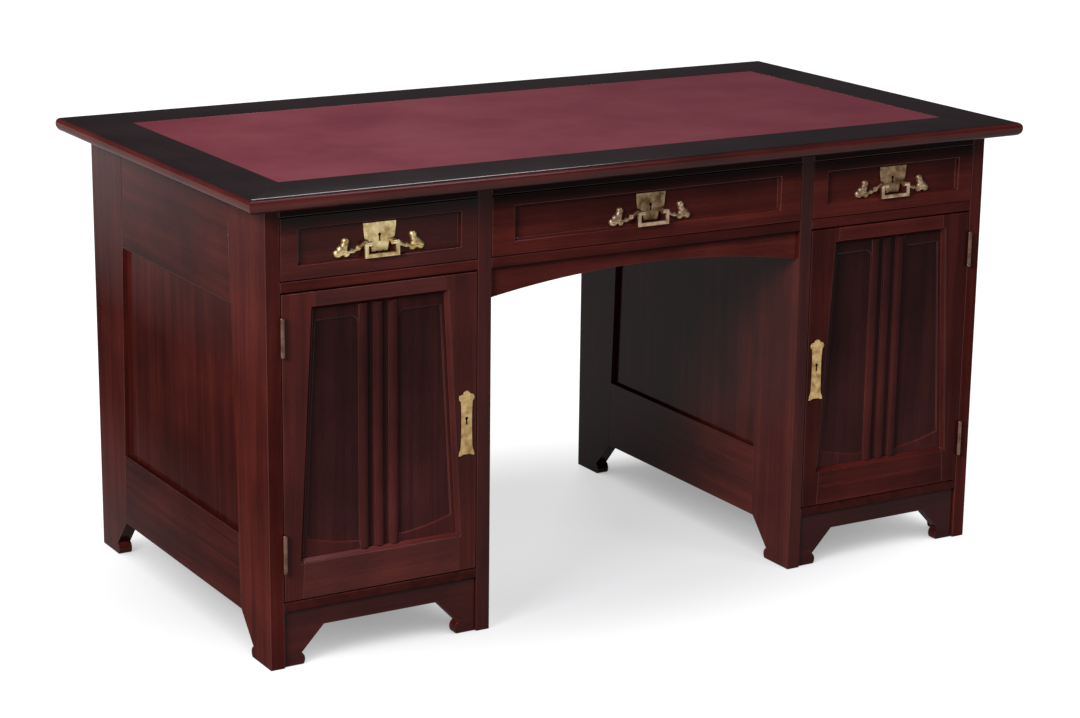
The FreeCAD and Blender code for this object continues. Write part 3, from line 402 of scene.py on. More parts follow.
def filed_iron(name):
    """Lock iron with file marks and a brown bloom."""
    material, tree = blank_material(name)
    place = add(tree, "TexCoord").outputs["Object"]
    length, width = FILE_MM
    along = add(tree, "Mapping", {
        "Vector": place, "Scale": (1 / (length * MM), 1 / (length * MM), 1 / (width * MM))})
    marks = add(tree, "TexNoise", {"Vector": along, "Scale": 1.0, "Detail": 3.0})
    metal = add(tree, "ValToRGB", {"Fac": marks}, stops=(
        (0.3, "#3a332d"), (0.55, "#5c554e"), (0.7, "#77706a")))
    relief = add(tree, "Bump", {"Height": marks, "Strength": 0.3, "Distance": 0.1 * MM})
    shader = add(tree, "BsdfPrincipled", {
        "Base Color": metal, "Metallic": 1.0, "Roughness": 0.5, "Normal": relief})
    add(tree, "OutputMaterial", {"Surface": shader})
    return material


# Painted light and shade: the left pull's brass is a lit copy, the centre and right pulls' are shaded copies.
lit_brass = chased_brass("chased_brass_painted_lit", "#6f5634", "#ab9160", "#dfcc9c")
brass = chased_brass("chased_cast_brass", "#5c432c", "#98794e", "#c4a876")
shaded_grip_brass = chased_brass("chased_grip_brass_painted_shade", "#4f3c30", "#8b7058", "#bda285")
shaded_brass = chased_brass("chased_brass_painted_shade", "#2c2018", "#5c4630", "#8f755a")
hinge_brass = chased_brass("grey_tarnished_hinge_brass", "#30221d", "#4e3930", "#715649")
iron = filed_iron("filed_lock_iron")
print("made", [metal.name for metal in (lit_brass, brass, shaded_grip_brass, shaded_brass, hinge_brass, iron)])

# %% [markdown]
# ## From CAD pieces to boards
# A node of the CAD model can hold several boards, cut into triangles. The CAD meshes stay as they are, so
# each one is copied. The copy's triangles are joined back into flat faces. Faces that hang together by edges
# with just two faces make a group: a board, or the hidden faces where two boards are joined. Grain runs
# upright in panels, and along the longest side of all other boards.

# %% Tools to find the boards
FLAT_ANGLE = math.radians(0.5)
WELD = 0.01 * MM
UPRIGHT = 2


def cleaned(node):
    """Mesh of a CAD node with its triangles joined back into flat faces."""
    shape = bmesh.new()
    shape.from_mesh(node.data)
    bmesh.ops.remove_doubles(shape, verts=shape.verts, dist=WELD)
    bmesh.ops.dissolve_limit(shape, angle_limit=FLAT_ANGLE, verts=shape.verts, edges=shape.edges)
    shape.faces.index_update()
    shape.verts.index_update()
    return shape


def boards_in(shape):
    """Groups of faces that meet at edges with just two faces: boards, and the joints between them."""
    groups = []
    seen = set()
    for first in shape.faces:
        if first.index in seen:
            continue
        seen.add(first.index)
        group = []
        waiting = [first]
        while waiting:
            face = waiting.pop()
            group.append(face)
            shared = [edge for edge in face.edges if len(edge.link_faces) == 2]
            for other in (other for edge in shared for other in edge.link_faces):
                if other.index not in seen:
                    seen.add(other.index)
                    waiting.append(other)
        groups.append(group)
    return groups


def grain_axis(name, low, high):
    """Number of the axis along which a board's grain runs: upright in panels, lengthwise elsewhere."""
    if name.endswith(("panel", "panels")):
        return UPRIGHT
    size = high - low
    return max(range(3), key=lambda axis: size[axis])


trial = cleaned(frame["nodes"]["left_outer_frame"])
print("the frame of the left end has", len(boards_in(trial)), "groups: its boards and their joints")
trial.free()

# %% [markdown]
# ## Tones of the boards, partly painted light and shade
# No two boards of an old desk look the same: some were paler from the start, and some have kept more
# of their polish. Part of the tone is painted light and shade: lying boards and the ends' front stiles are
# painted lighter, the heads of the door panels darker. The tone is a share of the wood's colour, and the
# polish is a share of its clear coat. Both are written on the corners of the mesh, where the recipes above
# read them.

# %% Tones and polish of the boards
BOARD_TONE = (0.88, 1.1)
# Painted light: lying boards are painted lighter, as if lit from above.
LYING_PAINTED_LIGHT = 1.25
# Own tones of some nodes, partly painted light: the door rails are painted lighter, as if lit more.
OWN_TONE_AND_PAINTED_LIGHT = {
    "left_door_rails": 1.25, "right_door_rails": 1.2, "left_door_stiles": 1.35, "arched_apron": 1.2,
    "plinth_aprons": 0.75, "right_drawer_front": 1.15, "left_drawer_front": 0.78, "cupboard_floors": 0.7}
# On the left pedestal and low at the front the polish is deeper, and mirrors a little more of the floor.
DEEP_POLISH = {
    "left_door_rails": 3.0, "left_door_stiles": 2.0, "plinth_aprons": 2.5, "left_drawer_front": 2.5}
# Panels have a tone at foot and head; on the doors, painted shade darkens the head under the rail.
DOOR_PANEL_PAINTED_SHADE = (1.6, 0.62)
END_PANEL_TONE = (0.84, 1.04)
END_RAIL_TONE = 0.68
# Painted light: the front stiles of the ends are painted lighter, as if lit from the front.
FRONT_STILE_PAINTED_LIGHT = 1.35
# On the drawers the frame is brighter than the sunk field.
DRAWER_FRAME_TONE = 1.2
DRAWER_FIELD_TONE = 0.94
FIELD_STEP = 1.0 * MM


def between(ends, corner, low, high):
    """Value at a corner's height, between those at a board's foot and at its head."""
    return ends[0] + (ends[1] - ends[0]) * (corner.z - low.z) / (high.z - low.z)


def corner_tone_and_painted_light(name, axis, corner, low, high):
    """Share of a board's tone at one of its corners, partly painted light and shade."""
    if name.endswith("door_panel"):
        return between(DOOR_PANEL_PAINTED_SHADE, corner, low, high)
    if name.endswith("outer_panel"):
        return between(END_PANEL_TONE, corner, low, high)
    if name.endswith("outer_frame") and axis != UPRIGHT:
        return END_RAIL_TONE
    if name.endswith("outer_frame") and high.y < 0:
        return FRONT_STILE_PAINTED_LIGHT
    if name.endswith("drawer_front"):
        return DRAWER_FIELD_TONE if corner.y - low.y > FIELD_STEP else DRAWER_FRAME_TONE
    return 1.0


print("nodes with a tone of their own:", len(OWN_TONE_AND_PAINTED_LIGHT), "with a deeper polish:", len(DEEP_POLISH))

# %% [markdown]
# ## Boards with eased edges and their own grain
# No joiner leaves a razor-sharp edge: every arris is eased with sandpaper, and that thin line catches the
# light. Before that, each board of a copy gets grain coordinates along its length. They start at a place of
# their own in the log, so that no two boards show the same figure.

# %% Tool for grained copies
chance = random.Random(1905)
SHARP_ANGLE = math.radians(32.0)
# A board starts anywhere in a block of this length, width and depth: more than a log, so that none repeats.
LOG_METRES = (9, 3, 3)


def grained_mesh(name):
    """Copy of a CAD node's mesh with grain coordinates, tone and polish for every board."""
    shape = cleaned(frame["nodes"][name])
    points = []
    faces = []
    grain = []
    tones = []
    for group in boards_in(shape):
        corners = {corner.index: corner.co.copy() for face in group for corner in face.verts}
        low = Vector(map(min, zip(*corners.values())))
        high = Vector(map(max, zip(*corners.values())))
        axis = grain_axis(name, low, high)
        log_place = Vector([chance.uniform(0, reach) for reach in LOG_METRES])
        tone = chance.uniform(*BOARD_TONE) * OWN_TONE_AND_PAINTED_LIGHT.get(name, 1.0)
        tone *= 1.0 if axis == UPRIGHT else LYING_PAINTED_LIGHT
        number = {}
        for index, corner in corners.items():
            number[index] = len(points)
            points.append(corner)
            across = [corner[other] for other in range(3) if other != axis]
            grain.extend(Vector((corner[axis], *across)) + log_place)
            tones.append(tone * corner_tone_and_painted_light(name, axis, corner, low, high))
        faces.extend([number[corner.index] for corner in face.verts] for face in group)
    shape.free()
    polishes = [DEEP_POLISH.get(name, 1.0)] * len(points)
    mesh = bpy.data.meshes.new(name + "_eased")
    mesh.from_pydata(points, [], faces)
    mesh.attributes.new("grain", "FLOAT_VECTOR", "POINT").data.foreach_set("vector", grain)
    mesh.attributes.new("tone", "FLOAT", "POINT").data.foreach_set("value", tones)
    mesh.attributes.new("polish", "FLOAT", "POINT").data.foreach_set("value", polishes)
    mesh.shade_smooth()
    mesh.set_sharp_from_angle(angle=SHARP_ANGLE)
    return mesh


print("boards start in a block of", LOG_METRES, "m")

# %% [markdown]
# A Bevel modifier eases the edges and puts the last material of the piece on them.

# %% Tools to show, ease and place a piece
body_of_node = {}
for body_name, node_names in frame["record"]["behaviour"]["bodies"].items():
    for node_name in node_names:
        body_of_node[node_name] = body_name


def show(mesh, name, materials):
    """New object for a mesh, with its materials, in the scene."""
    for material in materials:
        mesh.materials.append(material)
    piece = bpy.data.objects.new(name, mesh)
    bpy.context.scene.collection.objects.link(piece)
    return piece


def ease(piece, width):
    """Bevel modifier that eases a piece's sharp edges and gives them its last material."""
    bevel = piece.modifiers.new("eased_edges", "BEVEL")
    bevel.width = width
    bevel.segments = 2
    bevel.limit_method = "ANGLE"
    bevel.angle_limit = SHARP_ANGLE
    bevel.use_clamp_overlap = False
    bevel.harden_normals = True
    bevel.material = len(piece.data.materials) - 1


def stand_for(piece, name):
    """Let a piece take the place of a CAD node, on the node's body."""
    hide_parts(name)
    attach(piece, body_of_node[name])


# %% [markdown]
# ## The sunk fields of the doors
# The sunk fields of the door panels get the darkest mahogany, and the reeds between them and the band
# around them a darker one than the rest. The fields look straight to the front and lie deepest, so they are
# easy to find among the faces of the panel.

# %% Tool for sunk fields
FIELD_LEVEL = 0.2 * MM
# A face that looks to the front has a normal close to -Y; a field covers at least a square decimetre.
TO_THE_FRONT = -0.99
FIELD_AREA = 0.01


def darken_panel(mesh):
    """Give the second material to the sunk fields of a door panel."""
    facing = [face for face in mesh.polygons if face.normal.y < TO_THE_FRONT]
    levels = sorted({round(face.center.y, 5) for face in facing})
    deepest = max(round(face.center.y, 5) for face in facing if face.area > FIELD_AREA)
    for face in facing:
        if abs(face.center.y - deepest) < FIELD_LEVEL:
            face.material_index = 1
    print(mesh.name, "has front faces at", [round(level / MM, 1) for level in levels], "mm")


# %% [markdown]
# ## All the joinery
# With the tools above, a node takes a few lines. The record's material slots say what each node is made of.
# Some nodes have a finish of their own, and those that get a finer model further below are left out here.

# %% Dress the boards, hinges and locks
MAHOGANY_ARRIS = 1.0 * MM
BRASS_ARRIS = 0.35 * MM
# The mitres of the border were planed after gluing, so their edges are closed.
MITRE_ARRIS = 0.3 * MM
FINER_LATER = ("_pull", "_bail", "_escutcheon", "leather")
slot_of_node = {part["node"]: part["material_slot"] for part in frame["record"]["subparts"]}
slot_finish = {
    "mahogany": ([polished_mahogany, burnished_mahogany], MAHOGANY_ARRIS),
    "secondary_wood": ([raw_oak], 0.6 * MM),
    "brass": ([brass], BRASS_ARRIS),
    "lock_iron": ([iron], 0.4 * MM),
}
# Finishes of the nodes that have one of these words in their name
own_finish = {
    "_borders": ([border_mahogany], MITRE_ARRIS),
    "outer": ([end_mahogany, burnished_mahogany], MAHOGANY_ARRIS),
    "inner": ([kneehole_mahogany, burnished_mahogany], MAHOGANY_ARRIS),
    "door_panel": ([reed_mahogany, sunk_mahogany, burnished_mahogany], MAHOGANY_ARRIS),
    "drawer_front": ([drawer_mahogany, burnished_mahogany], MAHOGANY_ARRIS),
    "top_rails": ([drawer_mahogany, burnished_mahogany], MAHOGANY_ARRIS),
    "hinge": ([hinge_brass], BRASS_ARRIS),
}


def finish_of(name):
    """Materials of a node, the last one for its eased edges, and the width of these edges."""
    own = [finish for word, finish in own_finish.items() if word in name]
    return own[0] if own else slot_finish[slot_of_node[name]]


dressed = [name for name in sorted(frame["nodes"]) if not name.endswith(FINER_LATER)]
for node_name in dressed:
    piece_materials, arris = finish_of(node_name)
    piece = show(grained_mesh(node_name), node_name + "_eased", piece_materials)
    ease(piece, arris)
    stand_for(piece, node_name)
    if node_name.endswith("door_panel"):
        darken_panel(piece.data)
print("dressed", len(dressed), "nodes")

# %% [markdown]
# ## The leather's surface
# Leather that has been written on for years is not a flat sheet: it dips a little where the core has moved.
# A grid over the inset, lifted and lowered by soft noise of a tenth of a millimetre, gives the light
# something to play on. Its rim stays at the level that the CAD sheet has.

# %% Leather sheet
LEATHER_CELL = 12 * MM
LEATHER_SWELL = 0.12 * MM
LEATHER_WAVE = 150 * MM
RIM_SHARE = 1e-4


def leather_sheet(low, high):
    """Mesh of a grid over the top of a box, with soft swells; the grid is made from -0.5 to 0.5 first."""
    columns = round((high.x - low.x) / LEATHER_CELL)
    rows = round((high.y - low.y) / LEATHER_CELL)
    sheet = bmesh.new()
    bmesh.ops.create_grid(sheet, x_segments=columns, y_segments=rows, size=0.5)
    for point in sheet.verts:
        rim = min(0.5 - abs(point.co.x), 0.5 - abs(point.co.y))
        place = Vector((point.co.x * (high.x - low.x), point.co.y * (high.y - low.y), 0.0))
        swell = LEATHER_SWELL * noise.noise(place / LEATHER_WAVE) if rim > RIM_SHARE else 0.0
        point.co = Vector((place.x, place.y, high.z + swell))
    mesh = bpy.data.meshes.new("writing_leather_sheet")
    sheet.to_mesh(mesh)
    sheet.free()
    mesh.shade_smooth()
    return mesh


leather_piece = show(leather_sheet(*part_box("writing_leather")), "writing_leather_sheet", [red_leather])
stand_for(leather_piece, "writing_leather")
print("leather sheet with", len(leather_piece.data.polygons), "faces")

# %% [markdown]
# ## Flat castings
# Keyhole plates and the bail are flat shapes with a rounded edge. A founder starts from a drawing, and so
# does this model: outlines of points in millimetres, made of arcs and straight stretches.

# %% Tools for outlines


def arc(centre, radius, start, end, steps=10):
    """Points along an arc, with angles in degrees."""
    turns = [math.radians(start + (end - start) * step / steps) for step in range(steps + 1)]
    return [(centre[0] + radius * math.cos(turn), centre[1] + radius * math.sin(turn)) for turn in turns]


def keyhole(centre, radius=3.4, slot=1.9, drop=10.6):
    """Outline of a keyhole: a round hole and a slot below it, in millimetres."""
    lean = math.degrees(math.asin(slot / radius))
    round_part = arc(centre, radius, -90 + lean, 270 - lean, steps=16)
    return round_part + [(centre[0] - slot, centre[1] - drop), (centre[0] + slot, centre[1] - drop)]


def mirrored_outline(right):
    """Whole outline from its right half, listed from bottom to top."""
    return right + [(-across, up) for across, up in reversed(right)]


print("a keyhole's outline has", len(keyhole((0.0, 0.0))), "points")

# %% [markdown]
# A filled 2D curve makes a plate of such outlines: they may have holes, the curve's extrusion gives the
# thickness, and its bevel rounds the edge. The plate is drawn lying, set upright against the front, and
# turned into a mesh, to which bars and balls can be added.

# %% Tools for castings


def flat_casting(name, outlines, thickness, rounding, place):
    """Mesh of a flat plate that faces the front, from outlines in millimetres; place is on its back."""
    drawing = bpy.data.curves.new(name, "CURVE")
    drawing.dimensions = "2D"
    drawing.fill_mode = "BOTH"
    drawing.extrude = (thickness / 2 - rounding) * MM
    drawing.bevel_depth = rounding * MM
    drawing.bevel_resolution = 2
    for outline in outlines:
        line = drawing.splines.new("POLY")
        line.points.add(len(outline) - 1)
        line.use_cyclic_u = True
        for point, (across, up) in zip(line.points, outline):
            point.co = (across * MM, up * MM, 0.0, 1.0)
    carrier = bpy.data.objects.new(name, drawing)
    mesh = bpy.data.meshes.new_from_object(carrier)
    bpy.data.objects.remove(carrier)
    for point in mesh.vertices:
        across, up, out = point.co
        point.co = place + Vector((across, -out - thickness / 2 * MM, up))
    return mesh


def round_bar(shape, start, end, radius, segments=20):
    """Add a round bar with closed ends to a shape."""
    way = end - start
    turn = Vector((0, 0, 1)).rotation_difference(way).to_matrix().to_4x4()
    turn.translation = (start + end) / 2
    bmesh.ops.create_cone(shape, cap_ends=True, segments=segments, radius1=radius, radius2=radius,
                          depth=way.length, matrix=turn)


def ball(shape, centre, radius, segments=20):
    """Add a ball to a shape."""
    made = bmesh.ops.create_uvsphere(shape, u_segments=segments, v_segments=segments // 2, radius=radius)
    bmesh.ops.translate(shape, verts=made["verts"], vec=centre)


def cast_piece(shape, mesh, node_name, name, materials):
    """Write a shape into a mesh, smooth it between its sharp edges, and let it stand for a brass node."""
    shape.to_mesh(mesh)
    shape.free()
    mesh.shade_smooth()
    mesh.set_sharp_from_angle(angle=SHARP_ANGLE)
    piece = show(mesh, name, materials)
    stand_for(piece, node_name)
    print(name, "has", len(mesh.polygons), "faces")


# %% [markdown]
# ## Keyhole plates on the doors
# Each door has a tall escutcheon: three lobes at its head, a waist, and a flared foot. Two small round pins
# hold it. The outline is drawn from the bottom up and mirrored, so both sides agree.

# %% Door escutcheons
ESCUTCHEON_THICKNESS = 2.0
ESCUTCHEON_ROUNDING = 0.6
ESCUTCHEON_PINS = (37.5, -55.5)
KEYHOLE_TO_TOP = 46.3
PIN_HEAD = 1.3 * MM
PIN_SEGMENTS = 12


def escutcheon_outline():
    """Outline of the plate about its keyhole, in millimetres."""
    right = [(6.0, -60.5), (11.0, -62.5), (14.2, -62.5), (13.2, -57.5), (11.0, -52.0), (10.2, -46.0),
             (9.6, -30.0), (9.3, -10.0), (9.4, 8.0), (10.0, 22.0), (10.6, 29.7)]
    right += arc((8.2, 35.0), 5.8, -65, 95)
    right += arc((0.0, 40.5), 5.8, 3, 84)[1:]
    return mirrored_outline(right)


for side in ("left", "right"):
    node_name = side + "_door_escutcheon"
    low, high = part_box(node_name)
    key_place = Vector(((low.x + high.x) / 2, high.y, high.z - KEYHOLE_TO_TOP * MM))
    plate = flat_casting(node_name + "_cast", [escutcheon_outline(), keyhole((0.0, 0.0))],
                         ESCUTCHEON_THICKNESS, ESCUTCHEON_ROUNDING, key_place)
    shape = bmesh.new()
    shape.from_mesh(plate)
    for up in ESCUTCHEON_PINS:
        ball(shape, key_place + Vector((0.0, -ESCUTCHEON_THICKNESS, up)) * MM, PIN_HEAD, PIN_SEGMENTS)
    cast_piece(shape, plate, node_name, node_name + "_cast", [brass])

# %% [markdown]
# ## Drawer pulls
# The pull is one casting: a shield with the keyhole, an ear on each side for the bail, and a stem that runs
# out to a lobed leaf. Such relief is easiest to make as a height map: each lobe is a dome, the stem is a
# rounded ridge, and the chased veins are narrow grooves. A smooth maximum melts them together as the
# founder's wax model would. The surface dips under the wood at its rim, so its outline stays clean.

# %% Heights of the leaves
MELT = 3.2
# Each dome: distance from the middle, height below the plate's top, radius and rise, in millimetres
DOMES = (
    (36.0, -38.5, 5.4, 4.6),
    (47.5, -42.0, 4.4, 4.2),
    (58.5, -45.5, 6.8, 5.4),
    (59.5, -25.0, 6.4, 6.2),
    (61.5, -32.0, 6.4, 6.6),
    (65.5, -39.5, 9.6, 7.2),
    (72.5, -44.0, 7.8, 6.0),
)
STEM = ((24.0, -31.0), (36.0, -38.5), (46.0, -42.5), (58.0, -44.0))
STEM_RADIUS = 3.3
STEM_RISE = 4.0
VEINS = (((54.0, -44.0), (65.0, -42.0)), ((65.0, -42.0), (78.0, -46.0)), ((65.0, -42.0), (60.5, -29.0)))
VEIN_WIDTH = 0.8
VEIN_DEPTH = 0.5
CURL = (36.0, -38.5, 2.6)
# A rounded form ends just inside its radius, and its flank goes on steeply from there.
FORM_END = 0.98
FLANK_START = 0.2
FLANK_SLOPE = 4
FAR_BELOW = -9.0


def line_distance(point, start, end):
    """Distance of a point from a straight stretch."""
    way = Vector(end) - Vector(start)
    share = max(0.0, min(1.0, (Vector(point) - Vector(start)).dot(way) / way.length_squared))
    return (Vector(point) - Vector(start) - way * share).length


def bulge(distance, radius, rise):
    """Height of a rounded form at a distance from its middle; it falls below zero outside."""
    share = distance / radius
    if share < FORM_END:
        return rise * math.sqrt(1 - share * share)
    return FLANK_START * rise - FLANK_SLOPE * (distance - FORM_END * radius)


def melted(first, second):
    """Smooth maximum of two heights."""
    near = max(MELT - abs(first - second), 0.0) / MELT
    return max(first, second) + near * near * MELT / 4


def groove(distance):
    """Depth of a chased line at a distance from its middle."""
    return VEIN_DEPTH * math.exp(-(distance / VEIN_WIDTH) ** 2)


def relief_height(across, up):
    """Height of the casting above the wood at a place, in millimetres."""
    place = (abs(across), up)
    height = FAR_BELOW
    for start, end in zip(STEM, STEM[1:]):
        height = melted(height, bulge(line_distance(place, start, end), STEM_RADIUS, STEM_RISE))
    for centre_across, centre_up, radius, rise in DOMES:
        distance = math.hypot(place[0] - centre_across, up - centre_up)
        height = melted(height, bulge(distance, radius, rise))
    for start, end in VEINS:
        height -= groove(line_distance(place, start, end))
    return height - groove(abs(math.hypot(place[0] - CURL[0], up - CURL[1]) - CURL[2]))


print("height of the last dome:", round(relief_height(*DOMES[-1][:2]), 2), "mm")

# %% [markdown]
# The height map becomes a sheet of small square faces. Faces that lie wholly under the wood are left out.

# %% Sheet of the leaves
RELIEF_CELL = 0.6
RELIEF_REACH = 84.0
RELIEF_BOTTOM = -54.0
RELIEF_TOP = -17.0
RELIEF_SINK = -0.8


def relief_sheet(shape, place):
    """Add the leaves' relief to a shape, about the middle of the plate's top edge."""
    columns = round(2 * RELIEF_REACH / RELIEF_CELL)
    rows = round((RELIEF_TOP - RELIEF_BOTTOM) / RELIEF_CELL)
    heights = {}
    for column in range(columns + 1):
        for row in range(rows + 1):
            across = -RELIEF_REACH + column * RELIEF_CELL
            up = RELIEF_BOTTOM + row * RELIEF_CELL
            heights[column, row] = (across, up, max(relief_height(across, up), RELIEF_SINK))
    points = {}
    for column in range(columns):
        for row in range(rows):
            ring = [(column, row), (column + 1, row), (column + 1, row + 1), (column, row + 1)]
            if max(heights[corner][2] for corner in ring) <= RELIEF_SINK:
                continue
            for corner in ring:
                if corner not in points:
                    across, up, height = heights[corner]
                    points[corner] = shape.verts.new((place + Vector((across, -height, up))) * MM)
            shape.faces.new([points[corner] for corner in ring])


print("cells of the relief are", RELIEF_CELL, "mm wide")

# %% [markdown]
# The plate itself is a flat casting with the keyhole, and the ears are short round bars that stand out from
# it. Everything is joined into one mesh per pull, since it is one casting. The left pull's brass is painted
# lighter, as if lit; the other two have darker copies as painted shade, with leaves and bail paler than the plate.

# %% Cast the pulls
PLATE_THICKNESS = 3.0
PLATE_ROUNDING = 0.8
PLATE_KEYHOLE = (0.0, -20.0)
PLATE_PINS = ((-23.5, -5.0), (23.5, -5.0), (0.0, -40.0))
EAR_RADIUS = 4.2 * MM
EAR_SPAN = (17.5 * MM, 24.5 * MM)
NECK_SHARE = 0.8
plate_brass = {"left": lit_brass, "centre": shaded_brass, "right": shaded_brass}
grip_brass = {"left": lit_brass, "centre": shaded_grip_brass, "right": shaded_grip_brass}
pivots = {joint["child"]: Vector(joint["pos_m"]) for joint in frame["joints"] if joint["type"] == "hinge"}


def shield_outline():
    """Outline of the plate about the middle of its top edge, in millimetres."""
    right = [(3.5, -46.0), (4.6, -44.8), (8.5, -46.0), (13.0, -46.0), (13.8, -43.0), (15.0, -36.0)]
    right += [(16.8, -31.0), (20.0, -27.6), (25.8, -24.4), (26.6, -19.0), (27.9, -8.0), (28.5, 0.0)]
    return mirrored_outline(right)


def ear_bars(shape, place, bail_pivot):
    """Add the two ears, each a round boss on a neck, to a shape."""
    for turn in (-1, 1):
        inner = Vector((place.x + turn * EAR_SPAN[0], bail_pivot.y, bail_pivot.z))
        outer = Vector((place.x + turn * EAR_SPAN[1], bail_pivot.y, bail_pivot.z))
        round_bar(shape, inner, outer, EAR_RADIUS)
        middle = (inner + outer) / 2
        round_bar(shape, middle, Vector((middle.x, place.y, middle.z)), EAR_RADIUS * NECK_SHARE)


for side in ("left", "centre", "right"):
    node_name = side + "_drawer_pull"
    low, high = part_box(node_name)
    plate_place = Vector(((low.x + high.x) / 2, high.y, high.z))
    pull = flat_casting(node_name + "_cast", [shield_outline(), keyhole(PLATE_KEYHOLE)],
                        PLATE_THICKNESS, PLATE_ROUNDING, plate_place)
    shape = bmesh.new()
    shape.from_mesh(pull)
    plate_faces = len(shape.faces)
    relief_sheet(shape, plate_place / MM)
    ear_bars(shape, plate_place, pivots[side + "_bail"])
    for face in list(shape.faces)[plate_faces:]:
        face.material_index = 1
    for across, up in PLATE_PINS:
        ball(shape, plate_place + Vector((across, -PLATE_THICKNESS, up)) * MM, PIN_HEAD, PIN_SEGMENTS)
    cast_piece(shape, pull, node_name, node_name + "_cast", [plate_brass[side], grip_brass[side]])

# %% [markdown]
# ## Bails
# A bail is a square bar bent twice. Its arms end in round eyes that turn on pins in the ears. It rides on a
# body of its own, so it can swing up under a hand.

# %% Bend the bails
EYE_RADIUS = 3.4 * MM
BAIL_ROUNDING = 0.7

for side in ("left", "centre", "right"):
    node_name = side + "_drawer_bail"
    low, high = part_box(node_name)
    pivot = pivots[side + "_bail"]
    half = (high.x - low.x) / 2 / MM
    bar = (high.y - low.y) / MM
    drop = (low.z - pivot.z) / MM
    outline = mirrored_outline([(half, drop), (half, 0.0), (half - bar, 0.0), (half - bar, drop + bar)])
    bail = flat_casting(node_name + "_bent", [outline], bar, BAIL_ROUNDING,
                        Vector((pivot.x, high.y, pivot.z)))
    shape = bmesh.new()
    shape.from_mesh(bail)
    for turn in (-1, 1):
        outer = Vector((pivot.x + turn * half * MM, pivot.y, pivot.z))
        inner = outer - Vector((turn * bar * MM, 0.0, 0.0))
        round_bar(shape, inner, outer, EYE_RADIUS)
    cast_piece(shape, bail, node_name, node_name + "_bent", [grip_brass[side]])

# %% [markdown]
# ## Hinge tips
# The hinges lift off: the upper knuckle sits on a pin that stands in the lower one. A small turned ball
# closes each knuckle. The upper ball goes with the door and the lower one stays on the carcass. The pins'
# own ends say where they belong.

# %% Turn the hinge tips
TIP_RADIUS = 4.0 * MM
TIP_SINK = 1.5 * MM

pin_levels = sorted({round(point.co.z, 4) for point in frame["nodes"]["hinge_pins"].data.vertices})
for side in ("left", "right"):
    axis = pivots[side + "_door"]
    ends = {"carcass": (pin_levels[0::2], TIP_SINK), side + "_door": (pin_levels[1::2], -TIP_SINK)}
    for body_name, (levels, inward) in ends.items():
        shape = bmesh.new()
        for level in levels:
            ball(shape, Vector((axis.x, axis.y, level + inward)), TIP_RADIUS)
        mesh = bpy.data.meshes.new("hinge_tips")
        shape.to_mesh(mesh)
        shape.free()
        mesh.shade_smooth()
        piece = show(mesh, side + "_hinge_tips_on_" + body_name, [hinge_brass])
        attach(piece, body_name)
print("hinge pins end at", pin_levels)

# %% [markdown]
# ## Studio
# The desk stands on white paper in a white studio. The paper is lit like any matt sheet, so it takes the
# desk's shadow. A lift that cameras, mirrors and glass see brings it to white. It grows with the distance
# from the desk, where the lamps no longer reach; being weaker near the desk, it paints a soft shadow around
# it. An occlusion test shrinks it further where the desk closes off the sky, which paints a dark shadow
# under the pedestals. The world around is a plain dim grey: it fills the shadows a little, and gives
# the polish something quiet to mirror.

# %% Paper floor
FLOOR_HALF = 30.0
NEAR_LIFT = 0.62
FAR_LIFT = 1.0
LIFT_GROWS = (0.45, 1.12)
# The desk is wider than it is deep, so distances count more towards the front and the back.
DISTANCE_SHAPE = (1.0, 1.6, 1.0)
SHADE_REACH = 0.45
OPEN_ENOUGH = 0.55
DEEP_SHADE = 0.42


def seen_directly(tree):
    """One for rays from the camera, a mirror or glass, and zero for rays that only light things."""
    rays = add(tree, "LightPath").outputs
    seen = add(tree, "Math", {0: rays["Is Camera Ray"], 1: rays["Is Glossy Ray"]}, operation="MAXIMUM")
    return add(tree, "Math", {0: seen, 1: rays["Is Transmission Ray"]}, operation="MAXIMUM")


def paper_sweep(name):
    """Matt paper that looks white, with the desk's shadow and a painted shadow under and around it."""
    material, tree = blank_material(name)
    sheet = add(tree, "BsdfDiffuse", {"Color": colour("#878688")})
    place = add(tree, "TexCoord").outputs["Object"]
    shaped = add(tree, "VectorMath", {0: place, 1: DISTANCE_SHAPE}, operation="MULTIPLY")
    away = add(tree, "VectorMath", {0: shaped}, operation="LENGTH").outputs["Value"]
    # Painted shadow: the lift is weaker near the desk.
    lift = add(tree, "MapRange", {
        "Value": away, "From Min": LIFT_GROWS[0], "From Max": LIFT_GROWS[1], "To Min": NEAR_LIFT,
        "To Max": FAR_LIFT}, interpolation_type="SMOOTHSTEP")
    # Painted shadow: the lift weakens where the desk closes off the sky.
    open_sky = add(tree, "AmbientOcclusion", {"Distance": SHADE_REACH}).outputs["AO"]
    unshaded = add(tree, "MapRange", {
        "Value": open_sky, "From Min": 0.0, "From Max": OPEN_ENOUGH, "To Min": DEEP_SHADE,
        "To Max": 1.0})
    lift = add(tree, "Math", {0: lift, 1: unshaded}, operation="MULTIPLY")
    strength = add(tree, "Math", {0: lift, 1: seen_directly(tree)}, operation="MULTIPLY")
    glow = add(tree, "Emission", {"Color": colour("#ffffff"), "Strength": strength})
    both = add(tree, "AddShader", {0: sheet, 1: glow})
    add(tree, "OutputMaterial", {"Surface": both})
    return material


floor_mesh = bpy.data.meshes.new("paper_floor")
floor_mesh.from_pydata(
    [(-FLOOR_HALF, -FLOOR_HALF, 0), (FLOOR_HALF, -FLOOR_HALF, 0),
     (FLOOR_HALF, FLOOR_HALF, 0), (-FLOOR_HALF, FLOOR_HALF, 0)], [], [(0, 1, 2, 3)])
floor = show(floor_mesh, "paper_floor", [paper_sweep("white_paper_sweep")])
print("floor of", 2 * FLOOR_HALF, "m")

# %% [markdown]
# The room's own light is even and weak, so it needs only a plain background.

# %% Room
ROOM_LIGHT = 0.11

